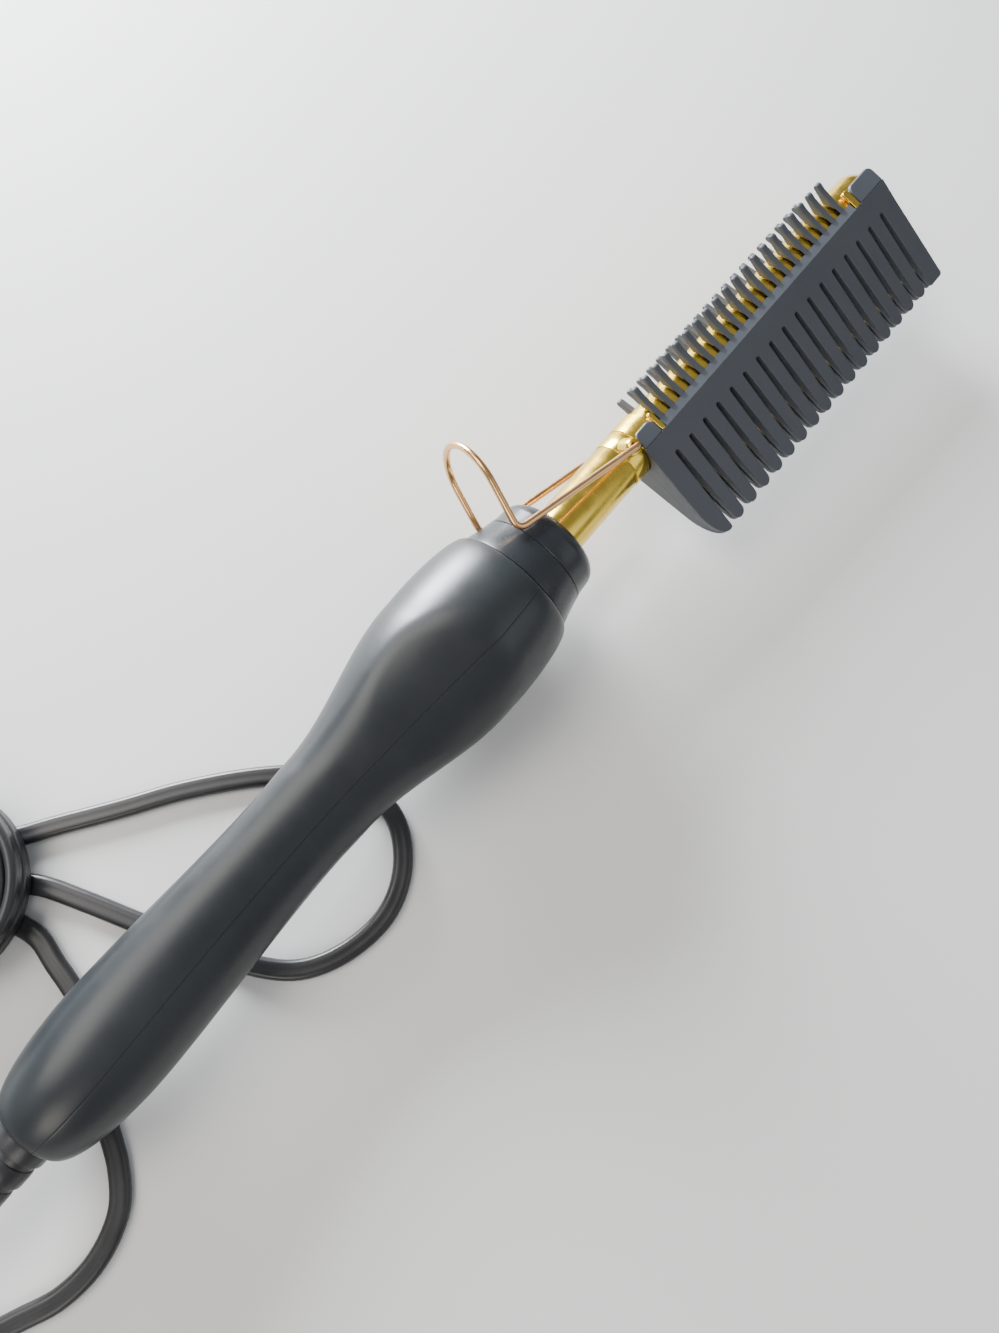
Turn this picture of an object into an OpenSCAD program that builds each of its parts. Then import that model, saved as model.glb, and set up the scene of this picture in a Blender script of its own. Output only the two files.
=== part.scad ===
// Electric pressing comb: a heated brass comb between two heat-proof guards, on a two-shell
// handle, with a folding wire stand and a flat mains lead.
// It lies on its side as on a table: the handle's front bulge and the first tooth touch the
// surface, and the tail rests over its own lead. The comb's own frame has X along the barrel
// towards the tip, with 0 at the first slot, Y across the comb and Z towards its back.

/* [Handle] */
// Length of the handle shells along the barrel
handle_l = 140; // [120:1:160]
// Diameter of the swelling behind the collar
front_bulge_d = 34.6; // [30:0.2:38]
// Diameter of the slim middle
waist_d = 21.2; // [19:0.2:24]
// Diameter of the swelling near the tail
rear_bulge_d = 24.6; // [22:0.2:28]
// Diameter at the tail's end
tail_d = 14; // [12:0.2:16]
// Wall of the shells
shell_wall = 2.2; // [1.6:0.1:2.6]
// Least half-thickness between the two flattened sides
flat_half = 8.3; // [8:0.1:9.5]
// Radius of the scoop that flattens each side
scoop_r = 220; // [180:5:300]
// Gap between the shells along the parting line
seam_gap = 0.2; // [0.1:0.05:0.3]

/* [Collar] */
// Length of the collar in front of the shells
collar_l = 15; // [12:0.5:18]
// Diameter of the collar where it meets the shells
collar_d = 29.2; // [27:0.2:30]
// Diameter of the collar at the rim of its nose
nose_d = 24; // [20:0.2:26]
// Distance from the nose to the groove round the collar
groove_at = 7.6; // [5:0.2:10]
// Depth of that groove
groove_depth = 0.5; // [0.2:0.1:0.8]

/* [Barrel] */
// Outside diameter of the brass barrel
barrel_d = 12; // [10:0.2:13]
// Wall of the barrel
barrel_wall = 1; // [0.6:0.1:1.2]
// Length of the barrel inside the handle
barrel_in = 40; // [30:1:50]
// Distance from the collar's nose to the first slot of the comb
reach = 33; // [28:1:40]

/* [Comb] */
// Number of slots between the teeth
slots = 17; // [10:1:17]
// Distance from one slot to the next
pitch = 5.2; // [4.6:0.1:5.4]
// Width of each slot
slot_w = 1.7; // [1.2:0.1:2.2]
// Diameter of the round brass back
spine_d = 11.2; // [10:0.2:11.6]
// Thickness of the brass blade at its root
blade_t = 5.6; // [4:0.2:6]
// Thickness of the brass teeth at their tips
tooth_tip_t = 2.2; // [1.6:0.2:3]
// Height of the brass teeth's tips below the barrel's axis
blade_h = 25; // [20:0.5:26]

/* [Guards] */
// Thickness across both guards
guard_t = 14; // [13.4:0.2:16]
// Wall of a guard's side plate
plate_t = 2.4; // [1.6:0.1:2.6]
// Height of the guard teeth's tips below the barrel's axis
guard_h = 28.7; // [26:0.1:32]
// Height of the slots' tops below the barrel's axis
slot_top = 5.8; // [4:0.1:8]
// Width of the plate in front of the first slot
guard_lead = 11.6; // [9:0.2:13]
// Width of the plate past the last slot
guard_tail = 5.2; // [4:0.2:8]
// Number of fins over the back on each guard
fins = 20; // [12:1:20]
// Distance from one fin to the next
fin_pitch = 3.78; // [3.2:0.02:3.9]
// Width of one fin
fin_w = 1.9; // [1.4:0.1:2.4]
// Height of the fins' tips above the barrel's axis
fin_h = 10.4; // [9:0.1:13]
// Distance between the two rows of fins at their tips
fin_gap = 6.4; // [4:0.2:8]

/* [Wire stand] */
// Diameter of the wire
wire_d = 1.6; // [1.2:0.1:2]
// Length of the two straight legs
leg_l = 34.4; // [30:0.2:38]
// Distance between the legs at the stand's foot
foot_w = 20; // [18:0.5:24]
// Height of the foot above its corners
foot_h = 21; // [16:0.5:26]
// Distance from the first slot back to the hinge
hinge_back = 8; // [7:0.2:10]
// Height of the hinge above the barrel's axis
hinge_up = 2.4; // [1:0.1:3]

/* [Lead] */
// Width of the flat lead
lead_w = 4.4; // [4:0.1:6]
// Thickness of the flat lead
lead_t = 2.3; // [2:0.1:3]
// Length of the strain relief behind the handle
boot_l = 34; // [24:1:40]

/* [Plug] */
// Diameter of the plug's pins
pin_d = 4; // [4:0.1:4.8]
// Length of the pins' free ends
pin_l = 19; // [17:0.5:19]
// Distance between the pins
pin_gap = 19; // [18:0.2:19]

/* [Resting] */
// Angle of the comb's back above the surface
roll = 25.5; // [15:0.1:40]
// Angle of the barrel above the surface
tilt = 1.3; // [0:0.1:3]

/* [Hidden] */

round_fn = 64;
small_fn = 32;
eps = 0.01;
fit = 0.05;                 // radial clearance of a running or sliding fit
seat = 0.2;                 // clearance of a seat

black = [0.09, 0.09, 0.10];
guard_grey = [0.24, 0.25, 0.27];
gold = [0.86, 0.66, 0.28];
copper = [0.80, 0.52, 0.33];
steel = [0.70, 0.71, 0.72];

nose_x = -reach;                        // front face of the collar
shell_x = nose_x - collar_l;            // front edge of the shells
tail_x = shell_x - handle_l;            // rear end of the shells
bulge_x = shell_x - 0.12 * handle_l;    // stations of the handle's outline
fall_x = shell_x - 0.157 * handle_l;
neck_x = shell_x - 0.421 * handle_l;
waist_x = shell_x - 0.49 * handle_l;
rear_x = shell_x - 0.84 * handle_l;
scoop_x = shell_x - 0.55 * handle_l;
barrel_r = barrel_d / 2;
bore_r = barrel_r - barrel_wall;
spine_r = spine_d / 2;
spine_end = (slots - 1) * pitch + guard_tail - 3.4;   // centre of the domed end
step_x = -2.5;                          // where the barrel ends on the spine
guard_x0 = -guard_lead;
guard_x1 = (slots - 1) * pitch + guard_tail + slot_w / 2;
half_t = guard_t / 2;
cove_r = spine_r + 0.25;                // the guards' hollow round the spine
shelf_z = -0.4;                         // outer edge of the sloping shelf
shelf_in = 1.1;                         // how far the shelf slopes inwards
shelf_up = 1.9;                         // and upwards

// ---------------------------------------------------------------- handle outline

// Smooth step from 0 to 1
function ease(t) = t * t * (3 - 2 * t);
// Radius of a smooth outline through [x, r] stations, listed from the front to the rear
function between(s, i, x) = s[i][1] + (s[i + 1][1] - s[i][1])
    * ease((s[i][0] - x) / (s[i][0] - s[i + 1][0]));
function outline_r(s, x, i = 0) =
    i >= len(s) - 2 || x > s[i + 1][0] ? between(s, i, x) : outline_r(s, x, i + 1);

handle_stations = [[bulge_x, front_bulge_d / 2], [fall_x, front_bulge_d / 2 - 0.12],
                   [neck_x, waist_d / 2 + 0.2], [waist_x, waist_d / 2], [rear_x, rear_bulge_d / 2]];
shoulder_h = front_bulge_d / 2 - collar_d / 2;
shoulder_l = shell_x - bulge_x;
tail_l = rear_x - tail_x;
// The shoulder and the tail are quarter ellipses, and the stretch between them is eased
function handle_r(x) =
    x > bulge_x ? collar_d / 2 + shoulder_h * sqrt(max(0, 1 - pow((x - bulge_x) / shoulder_l, 2)))
    : x > rear_x ? outline_r(handle_stations, x)
    : tail_d / 2 + (rear_bulge_d - tail_d) / 2 * sqrt(max(0, 1 - pow((rear_x - x) / tail_l, 2)));

handle_steps = 26;
handle_xs = [for (i = [0:handle_steps])
    let (t = i / handle_steps) shell_x - handle_l * (t + 0.012 * sin(360 * t))];

module along_x() {
    rotate([0, 90, 0]) children();
}

// Solid of the handle's outer form, less d all round
module handle_form(d, front, rear) {
    points = concat([[0, front]], [for (x = handle_xs) if (x < front - eps && x > rear + eps)
        [handle_r(x) - d, x]], [[0, rear]]);
    ends = concat([[0, front], [handle_r(front) - d, front]],
                  [for (i = [1:len(points) - 2]) points[i]],
                  [[handle_r(rear) - d, rear], [0, rear]]);
    difference() {
        along_x() rotate_extrude($fn = round_fn) polygon(ends);
        for (side = [-1, 1])
            translate([scoop_x, side * (flat_half + scoop_r), 0])
                cylinder(r = scoop_r + d, h = 2 * front_bulge_d, center = true, $fn = 360);
    }
}

module half_space(side) {
    translate([tail_x - 50, -50, side > 0 ? seam_gap / 2 : -100 - seam_gap / 2])
        cube([handle_l + 100, 100, 100]);
}

// A shell with its inner posts, which are the children, kept inside the form
module handle_shell(side) {
    difference() {
        intersection() {
            handle_form(0, shell_x, tail_x);
            half_space(side);
        }
        difference() {
            handle_form(shell_wall, shell_x + 1, tail_x + 9);
            intersection() {
                handle_form(shell_wall / 2, shell_x - 1, tail_x + 3);
                half_space(side);
                children();
            }
        }
        // the mouths for the collar's flange and the strain relief
        along_x() translate([0, 0, shell_x - 3]) cylinder(r = flange_r + seat, h = 6, $fn = round_fn);
        along_x() translate([0, 0, tail_x - 1]) cylinder(r = boot_neck_r, h = 12, $fn = small_fn);
        along_x() translate([0, 0, tail_x + 2]) cylinder(r = boot_rim_r + seat, h = 3, $fn = small_fn);
    }
}

// ---------------------------------------------------------------- handle parts

screw_xs = [shell_x - 0.315 * handle_l, shell_x - 0.68 * handle_l];
screw_r = 1.5;
screw_head_r = 2.8;
boss_r = 3.1;
flange_r = collar_d / 2 - shell_wall;
boot_neck_r = 4.6;
boot_rim_r = 5.6;

// Depth below the axis at which a screw's head sits
function screw_seat(x) = handle_r(x) - 3.6;

module posts() {
    for (x = screw_xs)
        translate([x, 0, -30]) cylinder(r = boss_r, h = 60, $fn = small_fn);
}

module handle_back_shell() {
    color(black) difference() {
        handle_shell(1) posts();
        for (x = screw_xs)
            translate([x, 0, -1]) cylinder(r = screw_r + fit, h = 8, $fn = small_fn);
    }
}

module handle_front_shell() {
    color(black) difference() {
        handle_shell(-1) {
            posts();
            // the saddle that the clamp presses the lead on
            translate([clamp_x, -clamp_w / 2, -30]) cube([clamp_l, clamp_w, 30 - lead_t / 2 - fit]);
        }
        for (x = screw_xs) {
            translate([x, 0, -handle_r(x) - 1])
                cylinder(r = screw_head_r + seat, h = handle_r(x) + 1 - screw_seat(x), $fn = small_fn);
            translate([x, 0, -handle_r(x)])
                cylinder(r = screw_r + fit, h = handle_r(x) + 1, $fn = small_fn);
        }
        for (side = [-1, 1])
            translate([clamp_x + clamp_l / 2, side * clamp_screw_y, -3.2])
                cylinder(r = clamp_screw_r + fit, h = 4, $fn = 24);
    }
}

module handle_screws() {
    color(steel) for (x = screw_xs) difference() {
        union() {
            translate([x, 0, -screw_seat(x) - 2]) cylinder(r = screw_head_r, h = 2, $fn = small_fn);
            translate([x, 0, -screw_seat(x) - eps])
                cylinder(r = screw_r, h = screw_seat(x) + 6, $fn = small_fn);
        }
        for (a = [0, 90])
            translate([x, 0, -screw_seat(x) - 2]) rotate(a) cube([3.4, 0.8, 1.6], center = true);
    }
}

module nose_collar() {
    bush_r = barrel_r + 2.2;
    color(black) along_x() rotate_extrude($fn = round_fn) difference() {
        polygon([[barrel_r + fit, nose_x], [barrel_r + 1, nose_x], [nose_d / 2 - 3, nose_x - 0.4],
                 [nose_d / 2 - 1, nose_x - 1.4], [nose_d / 2 - 0.1, nose_x - 2.8],
                 [nose_d / 2 + 0.1, nose_x - 4.4], [nose_d / 2 + 0.5, nose_x - groove_at + 0.25],
                 [nose_d / 2 + 0.5 - groove_depth, nose_x - groove_at],
                 [nose_d / 2 + 0.6, nose_x - groove_at - 0.25],
                 [collar_d / 2 - 0.3, shell_x + 0.5], [collar_d / 2 - 0.5, shell_x + 0.02],
                 [flange_r, shell_x + 0.02], [flange_r, shell_x - 2.6], [bush_r + seat, shell_x - 2.6],
                 [bush_r + seat, nose_x - 3], [barrel_r + fit, nose_x - 3]]);
    }
}

module insulating_bush() {
    color([0.86, 0.83, 0.74]) along_x() rotate_extrude($fn = round_fn)
        polygon([[barrel_r + fit, nose_x - 3.2], [barrel_r + 2.2, nose_x - 3.2],
                 [barrel_r + 2.2, shell_x - 3], [flange_r - 1, shell_x - 3], [flange_r - 1, shell_x - 7],
                 [barrel_r + 2.2, shell_x - 7], [barrel_r + 2.2, nose_x - barrel_in + 4],
                 [barrel_r + fit, nose_x - barrel_in + 4]]);
}

module retaining_washer() {
    color(steel) along_x() translate([0, 0, nose_x - barrel_in + 2.4])
        difference() {
            cylinder(r = barrel_r + 3, h = 1.2, $fn = round_fn);
            translate([0, 0, -1]) cylinder(r = barrel_r + fit, h = 4, $fn = round_fn);
        }
}

// ---------------------------------------------------------------- barrel and stand

module barrel_tube() {
    color(gold) along_x() translate([0, 0, nose_x - barrel_in]) difference() {
        union() {
            cylinder(r = barrel_r, h = step_x - nose_x + barrel_in, $fn = round_fn);
            cylinder(r = barrel_r + 1.2, h = 2.2, $fn = round_fn);
        }
        translate([0, 0, -1]) cylinder(r = bore_r, h = 200, $fn = round_fn);
    }
}

band_t = 0.4;
band_l = 4.8;
band_x = -hinge_back - band_l / 2;
ear_r = 2.2;
ear_out = barrel_r + 2.5;
leg_y = ear_out + wire_d / 2 + 0.5;

module stand_bracket() {
    color(gold) difference() {
        union() {
            along_x() translate([0, 0, band_x]) cylinder(r = barrel_r + band_t, h = band_l, $fn = round_fn);
            for (side = [-1, 1])
                translate([-hinge_back, side * (ear_out / 2 + 2.4), hinge_up]) rotate([90, 0, 0])
                    cylinder(r = ear_r, h = ear_out - 4.8, center = true, $fn = small_fn);
        }
        along_x() translate([0, 0, band_x - 1]) cylinder(r = barrel_r + fit, h = band_l + 4, $fn = round_fn);
        translate([-hinge_back, 0, hinge_up]) rotate([90, 0, 0])
            cylinder(r = pivot_r + fit, h = 3 * ear_out, center = true, $fn = small_fn);
        // the band is open under the barrel, where it is closed round it
        translate([band_x - 1, -1, -2 * barrel_r]) cube([band_l + 2, 2, 2 * barrel_r]);
    }
}

// A round tube along a path: each ring's frame is carried on from the one before it
function unit(v) = v / norm(v);
function route_dir(p, i) = unit(p[min(i + 1, len(p) - 1)] - p[max(i - 1, 0)]);
function square_to(u, d) = unit(u - (u * d) * d);
function carried(p, start) = [for (i = 0, u = square_to(start, route_dir(p, 0)); i < len(p);
    i = i + 1, u = square_to(u, route_dir(p, min(i, len(p) - 1)))) u];
function ring(c, u, v, r, n) = [for (k = [0:n - 1]) c + r * (u * cos(360 * k / n) + v * sin(360 * k / n))];
function skin(rings, n) = concat([[for (k = [0:n - 1]) k]],
    [for (i = [0:rings - 2], k = [0:n - 1]) let (a = i * n, m = (k + 1) % n)
        each [[a + k, a + n + k, a + n + m], [a + k, a + n + m, a + m]]],
    [[for (k = [0:n - 1]) rings * n - 1 - k]]);

module tube(path, r, n, start) {
    across = carried(path, start);
    points = [for (i = [0:len(path) - 1])
        each ring(path[i], across[i], cross(route_dir(path, i), across[i]), r, n)];
    polyhedron(points = points, faces = skin(len(path), n), convexity = 6);
}

// Points of a round corner of a path, at b between a and c
function corner(a, b, c, size, steps = 4) = let (p = b + size * unit(a - b), q = b + size * unit(c - b))
    [for (i = [0:steps]) let (t = i / steps) (1 - t) * (1 - t) * p + 2 * t * (1 - t) * b + t * t * q];

wire_r = wire_d / 2;
pivot_r = wire_r - fit;
foot_y = foot_w / 2;
corner_up = hinge_up + 7.6;             // the corners rest just clear of the collar
corner_x = -hinge_back - sqrt(leg_l * leg_l - pow(corner_up - hinge_up, 2));
foot_lean = 15;                         // the foot leans forward by this angle
bend = 2.4;                             // size of the bend at each corner
arch_steps = 24;
foot_dir = [sin(foot_lean), 0, cos(foot_lean)];

// One side of the stand, from its pivot's shoulder to the start of the foot's arch
function stand_side(side) = let (eye = [-hinge_back, side * leg_y, hinge_up],
    shoulder = [-hinge_back, side * (ear_out + 0.15), hinge_up],
    corner_at = [corner_x, side * foot_y, corner_up])
    concat([shoulder], corner(shoulder, eye, corner_at, 0.9),
           corner(eye, corner_at, corner_at + 10 * foot_dir, bend),
           [corner_at + (foot_h - foot_y - 1) * foot_dir]);
arch = [for (i = [0:arch_steps]) let (a = 180 * i / arch_steps)
    [corner_x, 0, corner_up] + (foot_h - foot_y + foot_y * sin(a)) * foot_dir + [0, -foot_y * cos(a), 0]];
other_side = stand_side(1);
stand_path = concat(stand_side(-1), arch, [for (i = [len(other_side) - 1:-1:0]) other_side[i]]);

module wire_stand() {
    color(copper) {
        tube(stand_path, wire_r, 14, [0, 0, 1]);
        for (side = [-1, 1])
            translate([-hinge_back, side * (barrel_r + 0.9 + leg_y) / 2, hinge_up]) rotate([90, 0, 0])
                cylinder(r = pivot_r, h = leg_y - barrel_r - 0.9, center = true, $fn = small_fn);
    }
}

// ---------------------------------------------------------------- comb and guards

heater_r = 3.4;
heater_x1 = spine_end - 4;

// Outline of a toothed plate below a line, with round tips, seen from the side. Its first tooth is
// broad: the front edge slants from x0 to a round tip of radius first_r
module tooth_outline(x0, x1, top, tip, first_r) {
    r = (pitch - slot_w) / 2;
    edge = slot_w / 2;
    last = (slots - 1) * pitch + edge;
    difference() {
        union() {
            polygon([[x0, top], [-edge, top], [-edge, tip + first_r], [-edge - 2 * first_r, tip + first_r]]);
            translate([-edge - first_r, tip + first_r]) circle(r = first_r, $fn = round_fn);
            polygon([[-edge, top], [last, top], [last, tip + r], [-edge, tip + r]]);
            for (i = [0:slots - 2])
                translate([(i + 0.5) * pitch, tip + r]) circle(r = r, $fn = small_fn);
            polygon([[last - eps, top], [x1, top], [x1, tip], [last + 0.6, tip], [last, tip + 0.8],
                     [last - eps, tip + r]]);
        }
        for (i = [0:slots - 1])
            translate([i * pitch - edge, tip - 1]) square([slot_w, -slot_top - tip + 1 - edge]);
        for (i = [0:slots - 1])
            translate([i * pitch, -slot_top - edge]) circle(r = edge, $fn = small_fn);
    }
}

module comb_spine() {
    color(gold) difference() {
        union() {
            along_x() translate([0, 0, step_x - 14]) cylinder(r = bore_r - fit, h = 15, $fn = round_fn);
            along_x() translate([0, 0, step_x]) cylinder(r = spine_r, h = spine_end - step_x, $fn = round_fn);
            translate([spine_end, 0, 0]) sphere(r = spine_r, $fn = round_fn);
            intersection() {
                rotate([90, 0, 0]) linear_extrude(height = blade_t, center = true)
                    tooth_outline(step_x + 0.7, guard_x1 - 1.6, -3, -blade_h, 1.4);
                rotate([90, 0, 90]) translate([0, 0, -20]) linear_extrude(height = 200)
                    polygon([[-blade_t / 2, 0], [blade_t / 2, 0], [blade_t / 2, -slot_top - 3],
                             [tooth_tip_t / 2, -blade_h - 1], [-tooth_tip_t / 2, -blade_h - 1],
                             [-blade_t / 2, -slot_top - 3]]);
            }
            // lugs beside the guards' tabs
            for (side = [-1, 1], x = [tab_x1 + seat, far_tab_x0 - seat - lug_w])
                translate([x, side > 0 ? 0 : -half_t, 0.4]) cube([lug_w, half_t, 3.4]);
        }
        along_x() translate([0, 0, step_x - 30])
            cylinder(r = heater_r + 0.3, h = heater_x1 - step_x + 30, $fn = round_fn);
    }
}

tab_x0 = -6.4;
tab_x1 = 0.4;
far_tab_x0 = guard_x1 - 9;
lug_w = 1.2;
tab_h = 3.4;
far_tab_h = 4.2;
first_fin = 2.1;                        // centre of the right guard's first fin

// Section of a guard's rail: the side wall, the cove round the spine and the sloping shelf
module rail_section() {
    difference() {
        polygon([[-half_t, shelf_z], [-half_t, -slot_top - 1], [-half_t + plate_t, -slot_top - 1],
                 [-blade_t / 2 - 0.5, -spine_r - 0.3], [-blade_t / 2 - 0.5, -2],
                 [-half_t + shelf_in, shelf_z + shelf_up]]);
        circle(r = cove_r, $fn = round_fn);
    }
}

// One fin: it rises from the shelf, leans in over the spine and ends in a round tip
module fin_section() {
    tip_r = 0.75;
    tip_y = fin_gap / 2 + tip_r;
    difference() {
        union() {
            polygon([[-half_t, shelf_z], [-half_t + 0.1, 1.6], [-tip_y - tip_r, fin_h - tip_r - 1.5],
                     [-tip_y - tip_r, fin_h - tip_r], [-tip_y + tip_r, fin_h - tip_r],
                     [-tip_y + tip_r + 0.3, 5], [-half_t + 2.2, shelf_z]]);
            translate([-tip_y, fin_h - tip_r]) circle(r = tip_r, $fn = small_fn);
        }
        circle(r = cove_r, $fn = round_fn);
    }
}

module prism(x0, x1) {
    translate([x0, 0, 0]) rotate([90, 0, 90]) linear_extrude(height = x1 - x0) children();
}

module tab(x0, x1, h) {
    r = 1.6;
    difference() {
        translate([0, -cove_r + 0.4, 0]) rotate([90, 0, 0]) linear_extrude(height = half_t - cove_r + 0.4)
            union() {
                translate([x0, -2]) square([x1 - x0, h + 2 - r]);
                translate([x0 + r, -2]) square([x1 - x0 - 2 * r, h + 2]);
                for (x = [x0 + r, x1 - r])
                    translate([x, h - r]) circle(r = r, $fn = small_fn);
            }
        along_x() translate([0, 0, x0 - 1]) cylinder(r = cove_r, h = x1 - x0 + 2, $fn = round_fn);
    }
}

// The right guard is on the side that faces up as the comb lies; shift moves its row of fins
module guard(shift) {
    difference() {
        guard_solid(shift);
        // room for the bracket's band and ears, which lie over the guard's corner
        along_x() translate([0, 0, guard_x0 - 1])
            cylinder(r = barrel_r + band_t + 0.25, h = step_x + 0.3 - guard_x0 + 1, $fn = round_fn);
        translate([-hinge_back, 0, hinge_up]) rotate([90, 0, 0])
            cylinder(r = ear_r + 0.25, h = 2 * guard_t, center = true, $fn = small_fn);
    }
}

module guard_solid(shift) {
    union() {
        translate([0, -half_t + plate_t, 0]) rotate([90, 0, 0]) linear_extrude(height = plate_t)
            tooth_outline(guard_x0, guard_x1, -slot_top + 1, -guard_h, 3.1);
        prism(guard_x0, guard_x1) polygon([[-half_t, -slot_top + 1.2], [-half_t + plate_t, -slot_top + 1.2],
                                           [-half_t + plate_t, -slot_top - 0.2], [-half_t, -slot_top - 0.2]]);
        prism(tab_x1 + 2 * seat + lug_w, far_tab_x0 - 2 * seat - lug_w) rail_section();
        for (ends = [[guard_x0, tab_x1 + 2 * seat + lug_w], [far_tab_x0 - 2 * seat - lug_w, guard_x1]])
            prism(ends[0], ends[1]) difference() {
                polygon([[-half_t, shelf_z], [-half_t, -slot_top - 1], [-half_t + plate_t, -slot_top - 1],
                         [-half_t + plate_t, shelf_z]]);
                circle(r = (ends[0] < 0 ? barrel_r + band_t : spine_r) + 0.25, $fn = round_fn);
            }
        tab(tab_x0, tab_x1, tab_h);
        tab(far_tab_x0, guard_x1, far_tab_h);
        for (i = [0:fins - 1])
            prism(first_fin + shift + i * fin_pitch, first_fin + shift + i * fin_pitch + fin_w) fin_section();
    }
}

module guard_right() {
    color(guard_grey) guard(0);
}

module guard_left() {
    color(guard_grey) mirror([0, 1, 0]) guard(fin_pitch / 2);
}

// ---------------------------------------------------------------- inside

module heater_core() {
    color([0.9, 0.89, 0.85]) along_x() translate([0, 0, step_x - 10])
        cylinder(r = heater_r - 0.5, h = heater_x1 - step_x + 9, $fn = small_fn);
}

module heater_sleeve() {
    color([0.75, 0.68, 0.5]) along_x() translate([0, 0, step_x - 12]) difference() {
        cylinder(r = heater_r + 0.2, h = heater_x1 - step_x + 11.5, $fn = small_fn);
        translate([0, 0, -1]) cylinder(r = heater_r - 0.4, h = 200, $fn = small_fn);
    }
}

core_y = 1.5;                           // the leads are this far from the axis in the barrel
post_y = 4.2;                           // and this far where they pass the screws' posts
sleeve_r = 1;
crimp_l = 10;
crimp_x = screw_xs[1] + 15;             // rear end of the crimped joints
front_x = screw_xs[0] + 5;
bend_x = front_x + 12;
lead_x1 = step_x - 12.2;                // where the heater's leads end in its sleeve

// A wire through points given as [x, y] on the level of the axis, with cut corners
module bent_wire(p, r) {
    at = [for (v = p) [v[0], v[1], 0]];
    inner = [for (i = [1:len(at) - 2]) each corner(at[i - 1], at[i], at[i + 1], 0.3, 1)];
    tube(concat([at[0]], inner, [at[len(at) - 1]]), r, 10, [0, 0, 1]);
}

module thermal_cutout() {
    color(steel) along_x() translate([0, 0, crimp_x + crimp_l + 2])
        cylinder(r = post_y - sleeve_r - 0.1, h = 11, $fn = small_fn);
}

// Two bare leads from the heater to their crimps, round the front post
module heater_leads() {
    color(steel) for (side = [-1, 1])
        bent_wire([[crimp_x + 5, side * post_y], [front_x, side * post_y], [bend_x, side * core_y],
                   [lead_x1, side * core_y]], 0.45);
}

module lead_sleeves() {
    color([0.93, 0.92, 0.88]) for (side = [-1, 1]) difference() {
        bent_wire([[crimp_x + crimp_l + 0.2, side * post_y], [front_x, side * post_y],
                   [bend_x, side * core_y], [lead_x1 - 5, side * core_y]], sleeve_r);
        bent_wire([[crimp_x, side * post_y], [front_x, side * post_y], [bend_x, side * core_y],
                   [lead_x1 + 5, side * core_y]], 0.5);
    }
}

module crimp_joints() {
    color(steel) for (side = [-1, 1])
        translate([0, side * post_y, 0]) along_x() translate([0, 0, crimp_x]) difference() {
            cylinder(r = 1.2, h = crimp_l, $fn = 24);
            translate([0, 0, 4]) cylinder(r = 0.5, h = crimp_l, $fn = 24);
        }
}

clamp_x = rear_x + 3;
clamp_l = 8;
clamp_w = 13;
clamp_screw_y = 4.4;
clamp_screw_r = 1.05;
lead_start = clamp_x + clamp_l + 1.4;   // where the lead's jacket ends inside the handle

// The lead's two insulated cores, from its jacket round the rear post to the crimps
module cord_cores() {
    color([0.25, 0.2, 0.2]) for (side = [-1, 1])
        bent_wire([[lead_start + 0.05, side * 1.05], [lead_start + 0.8, side * 1.05],
                   [screw_xs[1] - 4.6, side * post_y], [crimp_x - 0.05, side * post_y]], 0.9);
}

module cord_clamp() {
    color(black) difference() {
        translate([clamp_x, -clamp_w / 2, lead_t / 2 + fit]) cube([clamp_l, clamp_w, 2.6]);
        for (side = [-1, 1])
            translate([clamp_x + clamp_l / 2, side * clamp_screw_y, 0])
                cylinder(r = clamp_screw_r + fit, h = 6, $fn = 24);
    }
}

module clamp_screws() {
    color(steel) for (side = [-1, 1])
        translate([clamp_x + clamp_l / 2, side * clamp_screw_y, 0]) {
            translate([0, 0, lead_t / 2 + 2.65]) cylinder(r = 2, h = 1.3, $fn = 24);
            translate([0, 0, -3]) cylinder(r = clamp_screw_r, h = lead_t / 2 + 5.7, $fn = 24);
        }
}

// Where the comb's own frame sits on the surface
rest_x = 65.7;
rest_y = -0.1;
contact_x = 65;                         // distance back to the bulge's point of contact
rest_z = front_bulge_d / 2 / cos(tilt) + contact_x * sin(tilt);

// ---------------------------------------------------------------- strain relief and lead

boot_end = tail_x - boot_l;
boot_tip_r = 3.1;
rings = 6;

module strain_relief() {
    ring_l = boot_l / (rings + 1);
    color(black) difference() {
        along_x() rotate_extrude($fn = small_fn) polygon(concat(
            [[0, tail_x + 4.8], [boot_rim_r, tail_x + 4.8], [boot_rim_r, tail_x + 2.2],
             [boot_neck_r - 0.05, tail_x + 2.2], [boot_neck_r - 0.05, tail_x - 0.1],
             [boot_rim_r, tail_x - 0.1]],
            [for (i = [0:rings - 1], k = [0, 1])
                [boot_rim_r + (boot_tip_r - boot_rim_r) * i / rings,
                 tail_x - (i + 0.55 + 0.45 * k) * ring_l]],
            [[boot_tip_r, boot_end], [0, boot_end]]));
        translate([boot_end - 1, -lead_w / 2 - fit, -lead_t / 2 - fit])
            cube([boot_l + 10, lead_w + 2 * fit, lead_t + 2 * fit]);
    }
}

// Points of the lead and its hank are measured along the surface from the first slot
module beside_it() {
    translate([rest_x, rest_y, 0]) children();
}

module as_it_lies() {
    translate([rest_x, rest_y, rest_z]) rotate([roll - 90, -tilt, 0]) children();
}

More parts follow.
